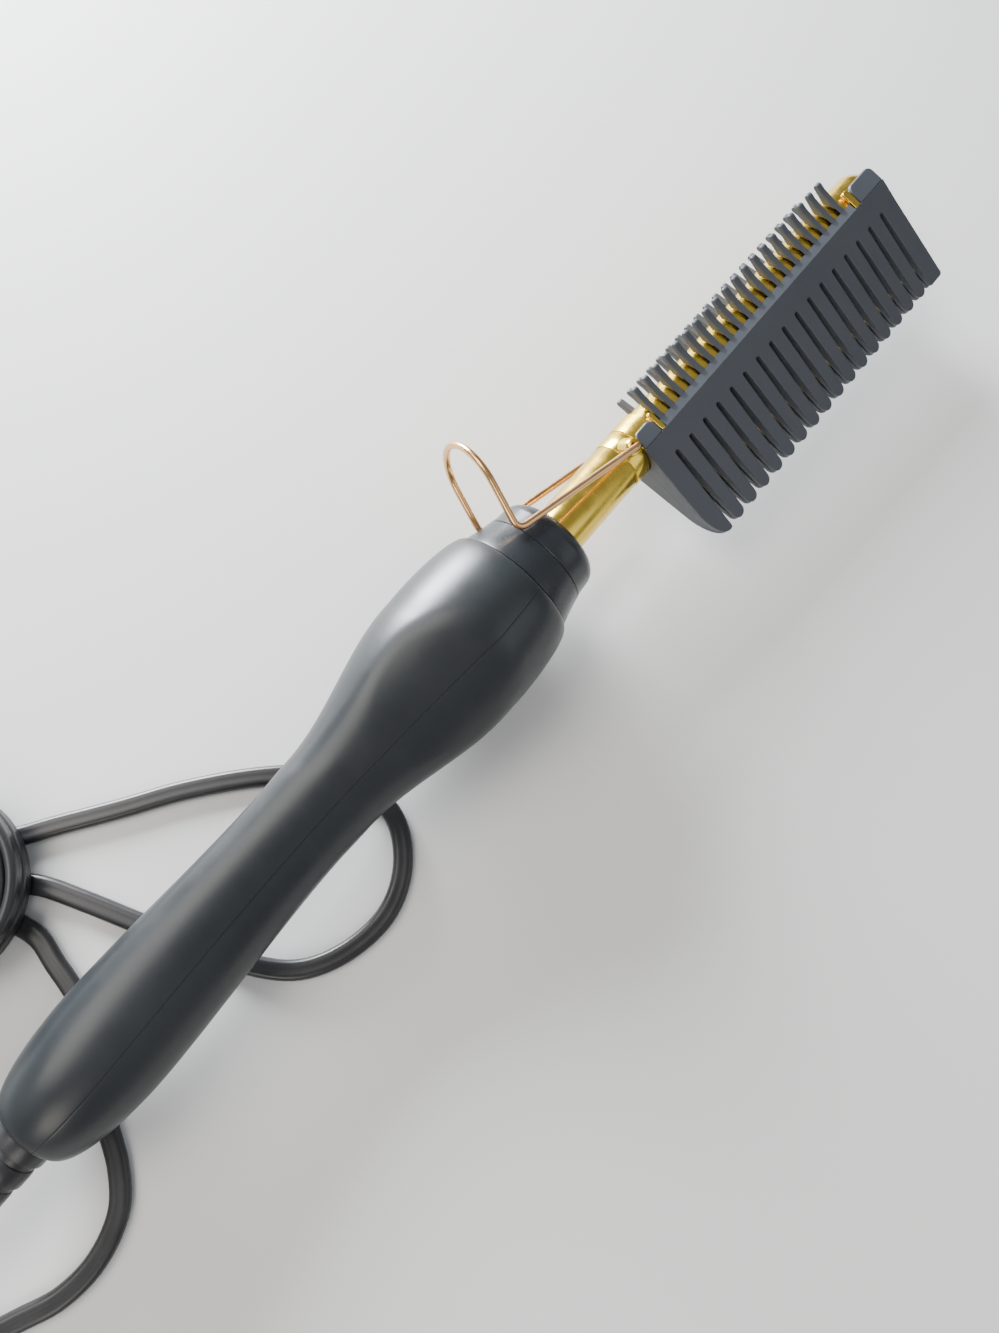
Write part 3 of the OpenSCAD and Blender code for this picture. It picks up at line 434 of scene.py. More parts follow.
def makeLead():
    path, total = evenWalk(leadRoute + loopRoute + riseRoute + hankTurns() + endRoute, lead["step"])
    # the section levels off after the strain relief, turns on edge as it rises into the hank, and is flat again
    # before the plug
    intoHank = evenWalk(leadRoute + loopRoute + riseRoute[:1], 1.0)[1]
    onEdge = evenWalk(leadRoute + loopRoute + riseRoute, 1.0)[1]
    places = [0.0]
    for p, q in zip(path, path[1:]):
        places.append(places[-1] + (q - p).length)
    section = leadSection()
    last = len(path) - 1

    def sectionAt(i):
        heading = (path[min(i + 1, last)] - path[max(i - 1, 0)]).normalized()
        flat = Vector((-heading.y, heading.x, 0)).normalized()
        up = heading.cross(flat)
        walked = places[i]
        turn = (90 - lying["roll"]) * (1 - ease((walked - lead["levelFrom"]) / lead["levelOver"]))
        turn += (90 * ease((walked - intoHank) / (onEdge - intoHank))
                 * (1 - ease((walked - total + lead["flatBefore"]) / lead["flatOver"])))
        turn = math.radians(turn)
        across = flat * math.cos(turn) + up * math.sin(turn)
        rise = up * math.cos(turn) - flat * math.sin(turn)
        return [path[i] + across * x + rise * y for x, y in section]

    bm = bmesh.new()
    sweep(bm, path, sectionAt)
    piece = makePiece("flatLead", bm, besideIt, leadBlack, "comb",
                      ("cord_lead", "cord_loop", "cord_end", "cord_hank"), 50)
    return piece, [tuple(besideIt @ q) for q in path], total / 1000


leadPiece, leadPath, leadLength = makeLead()
print("lead laid,", round(leadLength, 3), "m")

# Each light is its place, aim, size, power and colour. shelfSoft is low, so that the guards' shelves and fins are
# brighter than their plates.
studio = {"floor": 3, "floorColour": (0.78, 0.78, 0.77, 1), "floorRough": 0.6, "sky": (0.9, 0.93, 1.0, 1),
          "skyPower": 0.33,
          "lights": {"keySoft": ((-0.25, 0.45, 0.75), (0.0, 0.0, 0.0), 0.55, 5.4, (1.0, 0.95, 0.87)),
                     "shelfSoft": ((0.2, 0.62, 0.17), (0.1, 0.0, 0.02), 0.3, 26.0, (0.94, 0.97, 1.0)),
                     "nearSoft": ((0.25, -0.65, 0.55), (0.0, 0.0, 0.0), 0.6, 1.2, (0.90, 0.95, 1.0)),
                     "tailSoft": ((-0.6, -0.25, 0.5), (-0.05, 0.0, 0.0), 0.35, 1.8, (1.0, 0.95, 0.88))}}


def makeStudio():
    bm = bmesh.new()
    bmesh.ops.create_grid(bm, x_segments=1, y_segments=1, size=studio["floor"])
    mesh = bpy.data.meshes.new("floor")
    bm.to_mesh(mesh)
    bm.free()
    floor = bpy.data.objects.new("floor", mesh)
    bpy.context.scene.collection.objects.link(floor)
    material, shader = newMaterial("paleFloor")
    shader.inputs["Base Color"].default_value = studio["floorColour"]
    shader.inputs["Roughness"].default_value = studio["floorRough"]
    mesh.materials.append(material)
    for name, (at, aim, size, power, colour) in studio["lights"].items():
        data = bpy.data.lights.new(name, "AREA")
        data.size = size
        data.energy = power
        data.color = colour
        lamp = bpy.data.objects.new(name, data)
        lamp.location = at
        lamp.rotation_euler = (Vector(aim) - Vector(at)).to_track_quat("-Z", "Y").to_euler()
        bpy.context.scene.collection.objects.link(lamp)
    world = bpy.data.worlds.new("studio")
    world.use_nodes = True
    sky = world.node_tree.nodes["Background"]
    sky.inputs["Color"].default_value = studio["sky"]
    sky.inputs["Strength"].default_value = studio["skyPower"]
    bpy.context.scene.world = world


makeStudio()
print("studio lit")

# The handle is turned, then scooped on each side. stations are (x, radius) from the bulge back to the rear swell.
handle = {"front": -48.0, "length": 140.0, "collarR": 14.6, "tailR": 7.0,
          "stations": ((-64.8, 17.3), (-70.0, 17.18), (-107.0, 10.8), (-116.6, 10.6), (-165.6, 12.3)),
          "flatHalf": 8.3, "scoopR": 220.0, "scoopX": -125.0, "saddleR": 22.0, "creaseSoft": 0.9, "gripSoft": 5.0,
          "softFrom": -82, "softOver": 34, "rings": 220, "steps": 216, "seam": 0.03, "seamEdge": 0.06,
          "axisR": 0.5, "screws": (-92.1, -143.2), "wellR": 3.0, "wellDeep": 3.6, "wellTool": 12}
handleTail = handle["front"] - handle["length"]


def handleRadius(x):
    h = handle
    bulgeX, bulgeR = h["stations"][0]
    rearX, rearR = h["stations"][-1]
    if x > bulgeX:
        t = (x - bulgeX) / (h["front"] - bulgeX)
        return h["collarR"] + (bulgeR - h["collarR"]) * math.sqrt(max(0, 1 - t * t))
    for (fromX, fromR), (toX, toR) in zip(h["stations"], h["stations"][1:]):
        if x > toX:
            return fromR + (toR - fromR) * ease((fromX - x) / (fromX - toX))
    t = (rearX - x) / (rearX - handleTail)
    return h["tailR"] + (rearR - h["tailR"]) * math.sqrt(max(0, 1 - t * t))


def saddleRadius(x, turn):
    # how far out the scoop lets the side reach, along a ray turned up from the side
    h = handle
    drop = x - h["scoopX"]
    half = h["flatHalf"] + h["scoopR"] - math.sqrt(h["scoopR"] ** 2 - drop ** 2)
    side, up = math.cos(turn), math.sin(turn) ** 2 / h["saddleR"]
    if up < 1e-5:
        return half / side
    return (math.sqrt(side ** 2 + 2 * half * up) - side) / up


def handleForm():
    h = handle
    xs = [h["front"] - h["length"] * (0.5 - 0.5 * math.cos(math.pi * k / h["rings"])) for k in range(h["rings"] + 1)]
    bm = spinProfile([(h["front"], 0.0)] + [(x, handleRadius(x)) for x in xs] + [(handleTail, 0.0)], h["steps"])
    # the scoops have a fine crease under the front bulge and melt into the round grip behind it
    for v in bm.verts:
        r = math.hypot(v.co.y, v.co.z)
        if r < h["axisR"]:
            continue
        blend = h["creaseSoft"] + h["gripSoft"] * ease((h["softFrom"] - v.co.x) / h["softOver"])
        k = softMin(r, saddleRadius(v.co.x, math.atan2(abs(v.co.z), abs(v.co.y))), blend) / r
        v.co.y *= k
        v.co.z *= k
    return bm


def makeShell(name, side, node):
    bm = handleForm()
    cut = bmesh.ops.bisect_plane(bm, geom=bm.verts[:] + bm.edges[:] + bm.faces[:], dist=1e-5,
                                 plane_co=(0, 0, side * handle["seam"] / 2), plane_no=(0, 0, side), clear_inner=True)
    rim = [g for g in cut["geom_cut"] if isinstance(g, bmesh.types.BMEdge)]
    bmesh.ops.contextual_create(bm, geom=rim)
    bmesh.ops.remove_doubles(bm, verts=bm.verts[:], dist=1e-5)
    bevelSharp(bm, handle["seamEdge"], 2, 50)
    if side < 0:
        cutWells(bm)
    makePiece(name, bm, toRow, satinShell, "comb", (node,), 44)


def cutWells(bm):
    # the two screws sit at the bottom of round wells
    h = handle
    tools = bmesh.new()
    for x in h["screws"]:
        middle = h["wellDeep"] - handleRadius(x) - h["wellTool"] / 2
        bmesh.ops.create_cone(tools, cap_ends=True, segments=48, radius1=h["wellR"], radius2=h["wellR"],
                              depth=h["wellTool"], matrix=Matrix.Translation((x, 0, middle)))
    made = []
    for source in (bm, tools):
        mesh = bpy.data.meshes.new("well")
        source.to_mesh(mesh)
        made.append(bpy.data.objects.new("well", mesh))
        bpy.context.scene.collection.objects.link(made[-1])
    tools.free()
    body, tool = made
    cut = body.modifiers.new("wells", "BOOLEAN")
    cut.operation = "DIFFERENCE"
    cut.solver = "EXACT"
    cut.object = tool
    result = body.evaluated_get(bpy.context.evaluated_depsgraph_get())
    bm.clear()
    bm.from_mesh(result.to_mesh())
    result.to_mesh_clear()
    for spent in made:
        mesh = spent.data
        bpy.data.objects.remove(spent)
        bpy.data.meshes.remove(mesh)


makeShell("backShell", 1, "handle_back_shell")
makeShell("frontShell", -1, "handle_front_shell")
print("handle shells made")

# groove and rear are (x, radius) points, from the groove and from the joint with the shells
collar = {"noseX": -33.0, "backX": -48.0, "hole": 6.05, "holeDeep": 4, "lipR": 7.0, "roundR": 8.4, "roundX": 3.6,
          "roundHigh": 3.7, "grooveX": -40.6,
          "groove": ((2.0, 12.2), (0.16, 12.59), (0.07, 12.53), (0, 12.36), (-0.07, 12.57), (-0.16, 12.65),
                     (-3.4, 13.35)),
          "rear": ((0.7, 14.25), (0.3, 14.3), (0.12, 14.05), (0.06, 12.0), (0.06, 6.05))}


def makeCollar():
    c = collar
    inside = (c["noseX"] - c["holeDeep"], c["hole"])
    points = [inside, (c["noseX"], c["hole"]), (c["noseX"], c["lipR"])]
    points += [(c["noseX"] - c["roundX"] + c["roundX"] * math.cos(math.radians(a)),
                c["roundR"] + c["roundHigh"] * math.sin(math.radians(a))) for a in range(0, 85, 7)]
    points += [(c["grooveX"] + x, r) for x, r in c["groove"]] + [(c["backX"] + x, r) for x, r in c["rear"]]
    bm = spinProfile(points + [inside], 160)
    makePiece("noseCollar", bm, toRow, glossyBand, "comb", ("nose_collar",), 26)


makeCollar()

# the edges are (distance from the end, drop in radius) points
barrel = {"r": 6.0, "from": -72.0, "to": -2.5, "bore": 5.0, "frontEdge": ((0, 0.25), (0.1, 0.07), (0.3, 0)),
          "rearEdge": ((0.3, 0), (0, 0.2))}


def makeBarrel():
    b = barrel
    start, end, r = b["from"], b["to"], b["r"]
    points = [(start, b["bore"]), (end, b["bore"])] + [(end - x, r - drop) for x, drop in b["frontEdge"]]
    points += [(start + x, r - drop) for x, drop in b["rearEdge"]] + [(start, b["bore"])]
    makePiece("barrelTube", spinProfile(points, 96), toRow, brass, "comb", ("barrel_tube",), 30)


makeBarrel()
print("collar and barrel made")

# The comb is a V in section: its blade leans by one angle from the upright near face, and its far face by two.
comb = {"slots": 17, "pitch": 5.2, "slotTop": -5.8, "bladeSlot": 2.6, "bladeTop": -3.0, "bladeZ": -25.0,
        "bladeT": 2.8, "tipT": 1.0, "front": -1.8, "back": 87.65, "toeX": 0.8, "toeZ": 3.0, "bladeEdge": 0.1,
        "toeR": 0.7, "heelR": 0.8, "prongs": ((0.55, 1.85), (78.0, 79.9)), "prongHigh": 4.3, "prongCorner": 0.6,
        "prongEdge": 0.3, "lean": 12.0}
spine = {"r": 5.6, "from": -2.5, "dome": 85.0, "spigot": 13.9, "spigotR": 4.95, "neckFrom": -2.7, "neckR": 5.9,
         "neckToR": 5.95, "sleeveFrom": -5.6, "sleeveTo": 0.4, "sleeveR": 6.28, "sleeveEdge": 0.12, "taper": 0.5}
tabs = {"lowZ": -0.4, "outY": 7.0, "thick": 0.95, "leanIn": 0.31}


def leaning(times):
    return Matrix.Rotation(math.radians(-comb["lean"] * times), 3, "X")


def toFarSide(bm):
    # mirrors a form of the near side, and turns it onto the far face
    bmesh.ops.scale(bm, vec=(1, -1, 1), verts=bm.verts[:])
    bmesh.ops.reverse_faces(bm, faces=bm.faces[:])
    bmesh.ops.rotate(bm, verts=bm.verts[:], cent=(0, 0, 0), matrix=leaning(2))


def toothedOutline(x0, x1, top, tip, slotTop, slotTip, noseX, noseZ):
    # the outline of a plate with rounded teeth, seen from the side, as (x, z). Slots widen towards the tips, and
    # the first tooth's front edge curves back by noseX over its last noseZ
    c = comb
    half, topR = slotTip / 2, slotTop / 2
    toothR, toeR, heelR = c["pitch"] / 2 - half, c["toeR"], c["heelR"]
    points = [(x1, top), (x0, top)]
    points += [(x0 + noseX - noseX * math.cos(math.radians(a)), tip + noseZ - noseZ * math.sin(math.radians(a)))
               for a in range(0, 91, 6)]
    points += arc((-half - toeR, tip + toeR), toeR, 270, 360, 5)
    lastX = (c["slots"] - 1) * c["pitch"]
    for x in (i * c["pitch"] for i in range(c["slots"])):
        points += arc((x, c["slotTop"] - topR), topR, 180, 0, 8)
        if x < lastX:
            points += arc((x + c["pitch"] / 2, tip + toothR), toothR, 180, 360, 12)
    points += arc((lastX + half + heelR, tip + heelR), heelR, 180, 270, 4)
    return points + arc((x1 - heelR, tip + heelR), heelR, 270, 360, 4)


def leaningTab(x0, x1, high, corner, edge):
    # a tab with round upper corners, which leans in like the shelf beside it
    low, out = tabs["lowZ"], tabs["outY"]
    points = [(x0, low)] + arc((x0 + corner, high - corner), corner, 180, 90, 8)
    points += arc((x1 - corner, high - corner), corner, 90, 0, 8) + [(x1, low)]
    tab = extrudeOutline([(x, -out, z) for x, z in points], (0, tabs["thick"], 0))
    bevelSharp(tab, edge, 3, 40)
    for v in tab.verts:
        v.co.y += tabs["leanIn"] * (v.co.z - low)
    return tab


def makeSpine():
    s = spine
    start, sleeve, sleeveR, edge = s["from"] - s["spigot"], s["sleeveFrom"], s["sleeveR"], s["sleeveEdge"]
    profile = [(start, 0), (start, s["spigotR"]), (s["neckFrom"], s["spigotR"]), (s["neckFrom"], s["neckR"]),
               (sleeve, s["neckToR"]), (sleeve, sleeveR - edge), (sleeve + edge, sleeveR),
               (s["sleeveTo"] - s["taper"], sleeveR), (s["sleeveTo"], s["r"])]
    profile += arc((s["dome"], 0), s["r"], 90, 6, 14) + [(s["dome"] + s["r"], 0)]
    bm = spinProfile(profile, 96)
    c = comb
    outline = toothedOutline(c["front"], c["back"], c["bladeTop"], c["bladeZ"], c["bladeSlot"], c["bladeSlot"],
                             c["toeX"], c["toeZ"])
    blade = extrudeOutline([(x, -c["bladeT"] / 2, z) for x, z in outline], (0, c["bladeT"], 0))
    cutLevels(blade, [c["slotTop"]])
    for v in blade.verts:
        t = max(0, (c["slotTop"] - v.co.z) / (c["slotTop"] - c["bladeZ"]))
        v.co.y *= 1 - t * (1 - c["tipT"] / c["bladeT"])
    bevelSharp(blade, c["bladeEdge"], 2, 50)
    bmesh.ops.rotate(blade, verts=blade.verts[:], cent=(0, 0, 0), matrix=leaning(1))
    addTo(bm, blade)
    # a brass prong stands up in the gap beside each tab, on both sides
    for x0, x1 in c["prongs"]:
        for far in (False, True):
            prong = leaningTab(x0, x1, c["prongHigh"], c["prongCorner"], c["prongEdge"])
            if far:
                toFarSide(prong)
            addTo(bm, prong)
    makePiece("combSpine", bm, toRow, brass, "comb", ("comb_spine",))


makeSpine()
print("comb made")

guard = {"front": -5.9, "back": 89.25, "tip": -28.7, "slotTopW": 1.25, "slotTipW": 1.9, "outY": 7.0, "deepest": 2.7,
         "edge": 0.26, "levels": (-1.6, -2.8, -3.8, -4.6, -5.2), "tipGap": 0.03, "noseX": 4.0, "noseZ": 9.2,
         "noseAhead": 0.02, "noseTop": -5.4, "noseDeep": 3.4, "noseUp": 0.1, "noseHeel": 0.6, "noseIn": 0.4,
         "noseGap": 0.02, "topZ": -0.4, "clearR": 6.2, "coveR": 5.85, "shelfIn": 1.1, "shelfUp": 1.9,
         "railFrom": 2.0, "railTo": 77.65, "railZ": 1.0, "nearTab": (-5.6, 0.4, 3.4), "farTab": (80.25, 89.2, 4.2),
         "tabCorner": 1.6, "tabEdge": 0.28}
fin = {"count": 20, "pitch": 3.78, "first": 2.22, "w": 1.55, "high": 10.4, "tipY": 3.95, "tipR": 0.75,
       "shoulder": 1.5, "rootOut": 0.75, "rootUp": 0.6, "proud": 0.1, "innerOut": 0.3, "innerZ": 5.3,
       "coveGap": 0.05, "coveTop": 4.6, "coveLow": 0.2, "edge": 0.42}


def cove(r, fromZ, toZ, steps):
    # points (y, z) of the hollow round the spine, on the near side
    start, end = math.asin(fromZ / r), math.asin(toZ / r)
    turns = [start + (end - start) * k / steps for k in range(steps + 1)]
    return [(-r * math.cos(a), r * math.sin(a)) for a in turns]


def middleY(z):
    # the comb's leaning middle at height z
    return z * math.tan(math.radians(comb["lean"]))


def guardInside(z):
    # the inner face follows the spine, then stays beside the blade down to the tips
    g = guard
    if z > comb["slotTop"]:
        return -max(g["deepest"], math.sqrt(max(0, g["clearR"] ** 2 - z ** 2)))
    t = (comb["slotTop"] - z) / (comb["slotTop"] - g["tip"])
    return -g["deepest"] + (middleY(g["tip"]) - g["tipGap"] + g["deepest"]) * t


def makePlate():
    # one side of the guard: a toothed slab, pressed thinner towards the tips
    g = guard
    outline = toothedOutline(g["front"], g["back"], g["topZ"], g["tip"], g["slotTopW"], g["slotTipW"], g["noseX"],
                             g["noseZ"])
    plate = extrudeOutline([(x, -g["outY"], z) for x, z in outline], (0, g["outY"] - g["deepest"], 0))
    bevelSharp(plate, g["edge"], 3, 40, g["topZ"] - 0.01)
    cutLevels(plate, (*g["levels"], comb["slotTop"]))
    for v in plate.verts:
        k = (guardInside(v.co.z) + g["outY"]) / (g["outY"] - g["deepest"])
        v.co.y = -g["outY"] + (v.co.y + g["outY"]) * k
    return plate


def makeNose():
    # the first tooth is closed across to the middle, in front of the blade
    g = guard
    front, outer = g["front"] - g["noseAhead"], g["outY"] - g["noseIn"]
    back = front + g["noseDeep"]
    outline = [(back, g["noseTop"]), (front, g["noseTop"])]
    outline += [(front + g["noseX"] * (1 - math.cos(math.radians(a))),
                 g["tip"] + g["noseUp"] + g["noseZ"] * (1 - math.sin(math.radians(a)))) for a in range(0, 73, 6)]
    outline += [(back, g["tip"] + g["noseHeel"])]
    nose = extrudeOutline([(x, -outer, z) for x, z in outline], (0, outer, 0))
    for v in nose.verts:
        v.co.y = -outer + (v.co.y + outer) * (outer + middleY(v.co.z) - g["noseGap"]) / outer
    return nose


def makeRail():
    # the shelf's rail runs beside the spine between the two tabs
    g = guard
    section = [(-g["outY"], g["topZ"]), (g["shelfIn"] - g["outY"], g["topZ"] + g["shelfUp"])]
    section += cove(g["coveR"], g["railZ"], g["topZ"], 4)
    return extrudeOutline([(g["railFrom"], y, z) for y, z in section], (g["railTo"] - g["railFrom"], 0, 0))


def makeFin(x0):
    # a fin stands on the shelf and leans in over the spine
    g, f = guard, fin
    out, tipZ = g["outY"] - g["shelfIn"], f["high"] - f["tipR"]
    section = [(-out - f["rootOut"], g["topZ"] + f["rootUp"]),
               (-out - f["proud"], g["topZ"] + g["shelfUp"] + f["proud"]),
               (-f["tipY"] - f["tipR"], tipZ - f["shoulder"])]
    section += arc((-f["tipY"], tipZ), f["tipR"], 180, 0, 9)
    section += [(-f["tipY"] + f["tipR"] + f["innerOut"], f["innerZ"])]
    section += cove(g["coveR"] + f["coveGap"], f["coveTop"], f["coveLow"], 6)
    blade = extrudeOutline([(x0, y, z) for y, z in section], (f["w"], 0, 0))
    bevelSharp(blade, f["edge"], 4, 50)
    return blade


def makeGuard(name, node, far):
    # the far guard's fins stand half a pitch on, between the near guard's
    g = guard
    first = fin["first"] + (fin["pitch"] / 2 if far else 0)
    forms = [makePlate(), makeNose(), makeRail()]
    forms += [leaningTab(*tab, g["tabCorner"], g["tabEdge"]) for tab in (g["nearTab"], g["farTab"])]
    forms += [makeFin(first + i * fin["pitch"]) for i in range(fin["count"])]
    bm = bmesh.new()
    for form in forms:
        addTo(bm, form)
    if far:
        toFarSide(bm)
    evenNormals(makePiece(name, bm, toRow, guardGrey, "comb", (node,)))


makeGuard("rightGuard", "guard_right", False)
makeGuard("leftGuard", "guard_left", True)
print("guards made")

# ear is (y, drop from the ear's radius) points outside its boss, and dish is (y, rise from the hole) points inside
stand = {"pivotX": -8.0, "pivotZ": 2.4, "wireR": 0.8, "wireSides": 20, "endY": 6.9, "bearingY": 8.2, "legY": 9.8,
         "eyeBend": 1.1, "cornerX": -41.55, "cornerZ": 10.0, "bend": 2.4, "footY": 10.0, "footRise": 7,
         "footStraight": 10.97, "lean": 15.0, "bandFrom": -10.4, "bandTo": -5.75, "bandR": 6.14, "bandIn": 6.02,
         "bandGap": 1.0, "bandEdge": 0.04, "earR": 2.3, "earPlay": 0.1,
         "ear": ((4.6, -0.1), (6.6, 0.15), (7.6, 0.35), (8.2, 0.6), (8.42, 0.95)),
         "dish": ((8.36, 0.32), (8.0, 0), (4.6, 0))}


def roundCorner(a, b, c, size, steps=8):
    p = b + (a - b).normalized() * size
    q = b + (c - b).normalized() * size
    return [p.lerp(b, t).lerp(b.lerp(q, t), t) for t in (k / steps for k in range(steps + 1))]


def makeWire():
    w = stand
    lean = math.radians(w["lean"])
    footDir = Vector((math.sin(lean), 0, math.cos(lean)))

    def side(s):
        end, bearing, eye = (Vector((w["pivotX"], s * w[key], w["pivotZ"])) for key in ("endY", "bearingY", "legY"))
        corner = Vector((w["cornerX"], s * w["footY"], w["cornerZ"]))
        foot = corner + w["footRise"] * footDir
        leg = [eye.lerp(corner, t) for t in (0.2, 0.4, 0.6, 0.8)]
        return ([end, bearing] + roundCorner(end, eye, corner, w["eyeBend"]) + leg
                + roundCorner(eye, corner, foot, w["bend"]) + [foot])

    centre = Vector((w["cornerX"], 0, w["cornerZ"])) + footDir * w["footStraight"]
    arch = [centre + footDir * v + Vector((0, -u, 0)) for u, v in arc((0, 0), w["footY"], 0, 180, 30)]
    path = side(-1) + arch + side(1)[::-1]
    across = Vector((0, 0, 1))
    frames = []
    for i in range(len(path)):
        heading = (path[min(i + 1, len(path) - 1)] - path[max(i - 1, 0)]).normalized()
        across = (across - heading * across.dot(heading)).normalized()
        frames.append((across, heading.cross(across)))
    ring = arc((0, 0), w["wireR"], 0, 360, w["wireSides"])[:-1]
    bm = bmesh.new()
    sweep(bm, path, lambda i: [path[i] + frames[i][0] * u + frames[i][1] * v for u, v in ring])
    makePiece("wireStand", bm, toRow, copperWire, "stand", ("wire_stand",), 50)


def makeBracket():
    w = stand
    inner, outer = w["bandIn"], w["bandR"]
    gap = math.asin(w["bandGap"] / outer)
    # the band is a strip spun round the barrel, open below
    bm = bmesh.new()
    verts, edges = ringOfVerts(bm, [(x, 0, -r) for x, r in (
        (w["bandFrom"], inner), (w["bandTo"], inner), (w["bandTo"], outer), (w["bandFrom"], outer))])
    face = bmesh.ops.contextual_create(bm, geom=edges)["faces"]
    bmesh.ops.rotate(bm, verts=verts, cent=(0, 0, 0), matrix=Matrix.Rotation(gap, 3, "X"))
    bmesh.ops.spin(bm, geom=face, cent=(0, 0, 0), axis=(1, 0, 0), dvec=(0, 0, 0), angle=2 * (math.pi - gap),
                   steps=96, use_merge=False, use_duplicate=False, use_normal_flip=False)
    bmesh.ops.contextual_create(bm, geom=[e for e in bm.edges if e.is_boundary])
    bmesh.ops.recalc_face_normals(bm, faces=bm.faces[:])
    bevelSharp(bm, w["bandEdge"], 2, 50)
    # an ear is a dished boss round the wire's end, drawn out of the band
    hole = w["wireR"] + w["earPlay"]
    profile = [(w["ear"][0][0], hole)] + [(y, w["earR"] - drop) for y, drop in w["ear"]]
    profile += [(y, hole + rise) for y, rise in w["dish"]]
    for s in (-1, 1):
        ear = spinProfile(profile, 48)
        bmesh.ops.transform(ear, verts=ear.verts[:], matrix=Matrix.Translation((w["pivotX"], 0, w["pivotZ"]))
                            @ Matrix.Rotation(math.radians(90 * s), 4, "Z"))
        addTo(bm, ear)
    makePiece("standBracket", bm, toRow, brass, "comb", ("stand_bracket",))


makeWire()
makeBracket()
print("stand made")

# rim and tip are (x, drop in radius) points from the boot's two ends. ring and next are (part of a step, drop in
# radius) points along one ring and at the start of the next
boot = {"from": -188.0, "length": 34.0, "rimR": 5.6, "tipR": 3.1, "rings": 6,
        "rim": ((4.8, 1), (-0.1, 1), (-0.1, 0.3), (-0.4, 0)), "tip": ((0.4, 0), (0.08, 0.12), (0, 0.4)),
        "ring": ((0.62, 0), (0.70, 0.12), (0.74, 0.75), (0.96, 0.8), (1, 0.55)), "next": ((1.04, 0.1), (1.1, 0))}


def makeBoot():
    b = boot
    start, rimR, tipR = b["from"], b["rimR"], b["tipR"]
    end = start - b["length"]
    step = b["length"] / (b["rings"] + 1)
    points = [(start + b["rim"][0][0], 0)] + [(start + x, rimR - drop) for x, drop in b["rim"]]
    for i in range(b["rings"]):
        x = start - i * step
        r, nextR = (rimR + (tipR - rimR) * k / b["rings"] for k in (i, i + 1))
        points += [(x - part * step, r - drop) for part, drop in b["ring"]]
        points += [(x - part * step, nextR - drop) for part, drop in b["next"]]
    points += [(end + x, tipR - drop) for x, drop in b["tip"]] + [(end, 0)]
    makePiece("strainRelief", spinProfile(points, 64), toRow, leadBlack, "comb",
              ("strain_relief",), 34)


makeBoot()

tie = {"at": 4.0, "width": 4.6, "thick": 0.7, "gap": 0.05, "innerCorner": 0.6, "outerCorner": 1.2, "edge": 0.16}


def makeTie():
    t = tie
    hankR = hank["hole"] + hank["columns"] * (lead["thick"] + hank["gap"]) + t["gap"]
    hankH = hank["layers"] * (lead["width"] + hank["gap"])
    halfV = (hankR - hank["hole"]) / 2 + t["gap"]
    halfZ = hankH / 2 + t["gap"]
    midV = (hankR + hank["hole"]) / 2
    midZ = hank["z"] + hankH / 2

    def frameLine(grow, corner):
        a, b = halfV + grow - corner, halfZ + grow - corner
        return [point for k, (v, z) in enumerate(((a, b), (-a, b), (-a, -b), (a, -b)))
                for point in arc((v, z), corner, 90 * k, 90 * k + 90, 5)]

    bm = bmesh.new()
    loops = []
    for u in (t["at"] - t["width"] / 2, t["at"] + t["width"] / 2):
        for grow, corner in ((0, t["innerCorner"]), (t["thick"], t["outerCorner"])):
            loops.append(ringOfVerts(bm, [onHank(u, midV + v, midZ + z) for v, z in frameLine(grow, corner)])[1])
    for one, other in ((0, 1), (2, 3), (0, 2), (1, 3)):
        bmesh.ops.bridge_loops(bm, edges=loops[one] + loops[other])
    bmesh.ops.recalc_face_normals(bm, faces=bm.faces[:])
    bevelSharp(bm, t["edge"], 2, 50)
    makePiece("hankTie", bm, besideIt, plugBlack, "comb", ("cord_tie",))


makeTie()


def makePlugNeck():
    # a neck of soft rings
    g = plug
    end = g["neck"] + g["neckInBody"]
    points = list(g["mouth"])
    for i in range(g["neckRings"]):
        x, r = g["ringFrom"] + i * g["ringEvery"], g["ringR"] + i * g["ringGrows"]
        points += [(x + along, r + out) for along, out in g["ring"]]
    return spinProfile(points + [(end, g["neckR"]), (end, 0)], 64)


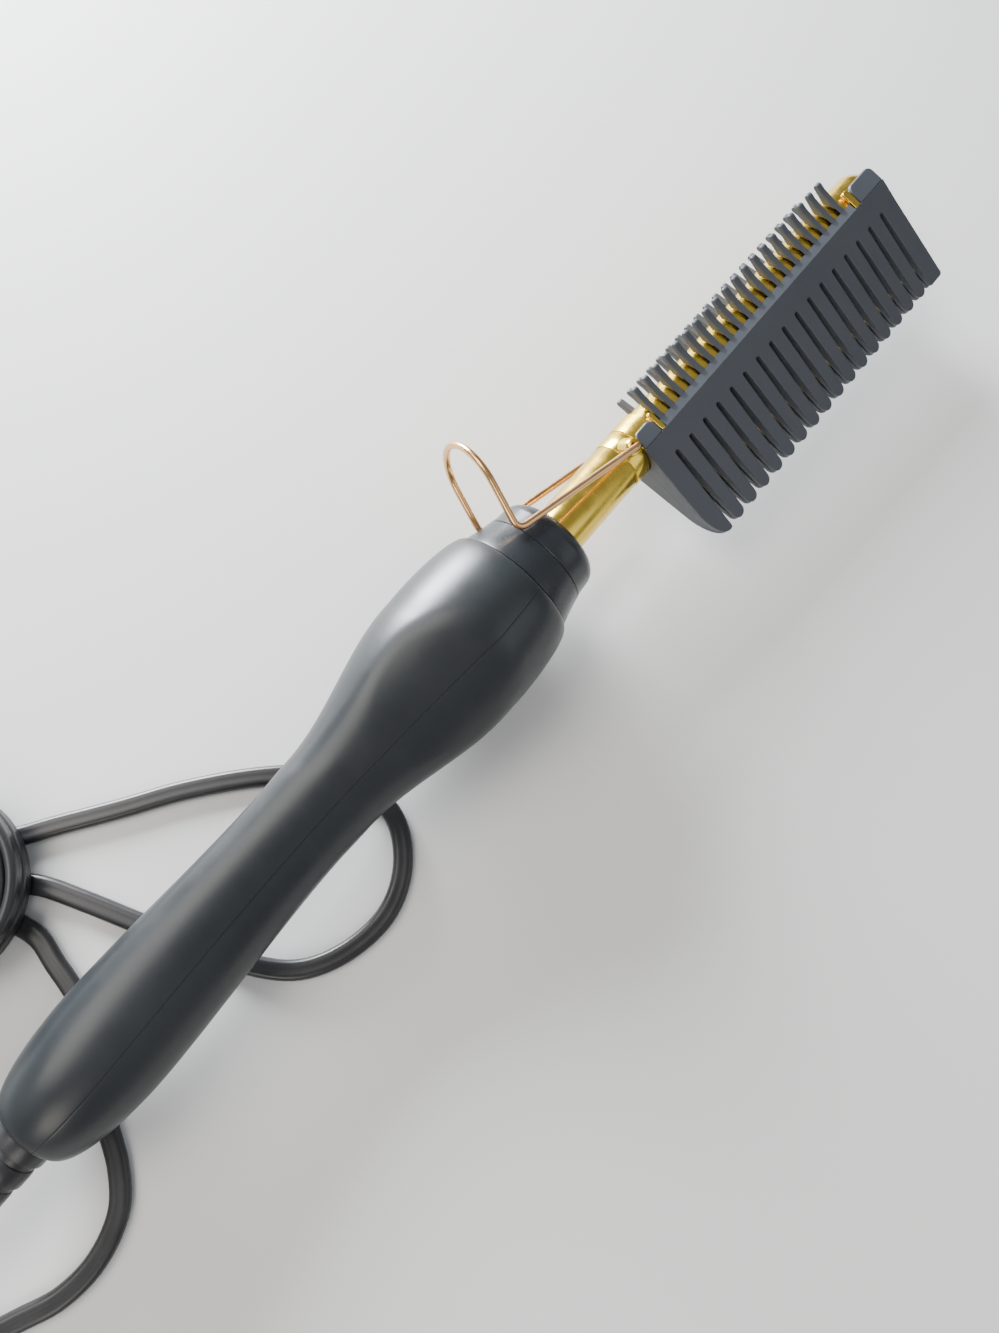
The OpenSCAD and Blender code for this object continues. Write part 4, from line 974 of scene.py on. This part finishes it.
def makePlugBlock():
    # the body is a flat oval block, waisted for the fingers
    g = plug
    r = g["high"] / 2
    c = g["width"] / 2 - r
    oval = arc((c, 0), r, -90, 90, 20) + arc((-c, 0), r, 90, 270, 20)
    block = extrudeOutline([(g["neck"], y, z) for y, z in oval], (g["body"], 0, 0))
    cutLevels(block, [g["neck"] + g["body"] * k / g["slices"] for k in range(1, g["slices"])], (1, 0, 0))
    (waist, waistTo), (narrow, narrowTo), (thin, thinTo) = g["waist"], g["narrow"], g["thin"]
    for v in block.verts:
        t = (v.co.x - g["neck"]) / g["body"]
        v.co.y *= 1 - waist * math.sin(math.pi * min(1, t / waistTo)) ** 2 - narrow * (1 - ease(t / narrowTo))
        v.co.z *= 1 - thin * (1 - ease(t / thinTo))
    bevelSharp(block, g["edge"], 5, 60)
    return block


def makePlug():
    g = plug
    place = besideIt @ Matrix.Translation(g["at"]) @ Matrix.Rotation(math.pi, 4, "Z")
    bm = bmesh.new()
    addTo(bm, makePlugNeck())
    addTo(bm, makePlugBlock())
    for x in g["ribs"]:
        for s in (-1, 1):
            rib = bmesh.new()
            bmesh.ops.create_cube(rib, size=1, matrix=Matrix.Translation((x, 0, s * g["ribZ"]))
                                  @ Matrix.Diagonal((*g["rib"], 1)))
            bevelSharp(rib, g["ribEdge"])
            addTo(bm, rib)
    makePiece("plugBody", bm, place, plugBlack, "comb", ("plug_body",))
    base = g["neck"] + g["body"]
    tip = base + g["pinL"]
    profile = [(base - g["pinIn"], 0), (base - g["pinIn"], g["pinR"]), (tip - g["pinR"], g["pinR"])]
    profile += arc((tip - g["pinR"], 0), g["pinR"], 80, 10, 7) + [(tip, 0)]
    pins = bmesh.new()
    for s in (-1, 1):
        pin = spinProfile(profile, 40)
        bmesh.ops.translate(pin, verts=pin.verts[:], vec=(0, s * g["pinGap"] / 2, 0))
        addTo(pins, pin)
    makePiece("plugPins", pins, place, steel, "comb", ("plug_pins",))


makePlug()
print("boot, tie and plug made")

for nodeName, material in {
        "handle_screws": steel, "insulating_bush": heatCeramic, "retaining_washer": steel,
        "heater_core": heatCeramic, "heater_sleeve": amberFilm, "thermal_cutout": steel, "heater_leads": steel,
        "lead_sleeves": wovenSleeve, "crimp_joints": steel, "cord_clamp": satinShell, "clamp_screws": steel,
        "cord_cores": leadBlack}.items():
    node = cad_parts[nodeName]
    node.data.materials.clear()
    node.data.materials.append(material)
print("solids dressed")
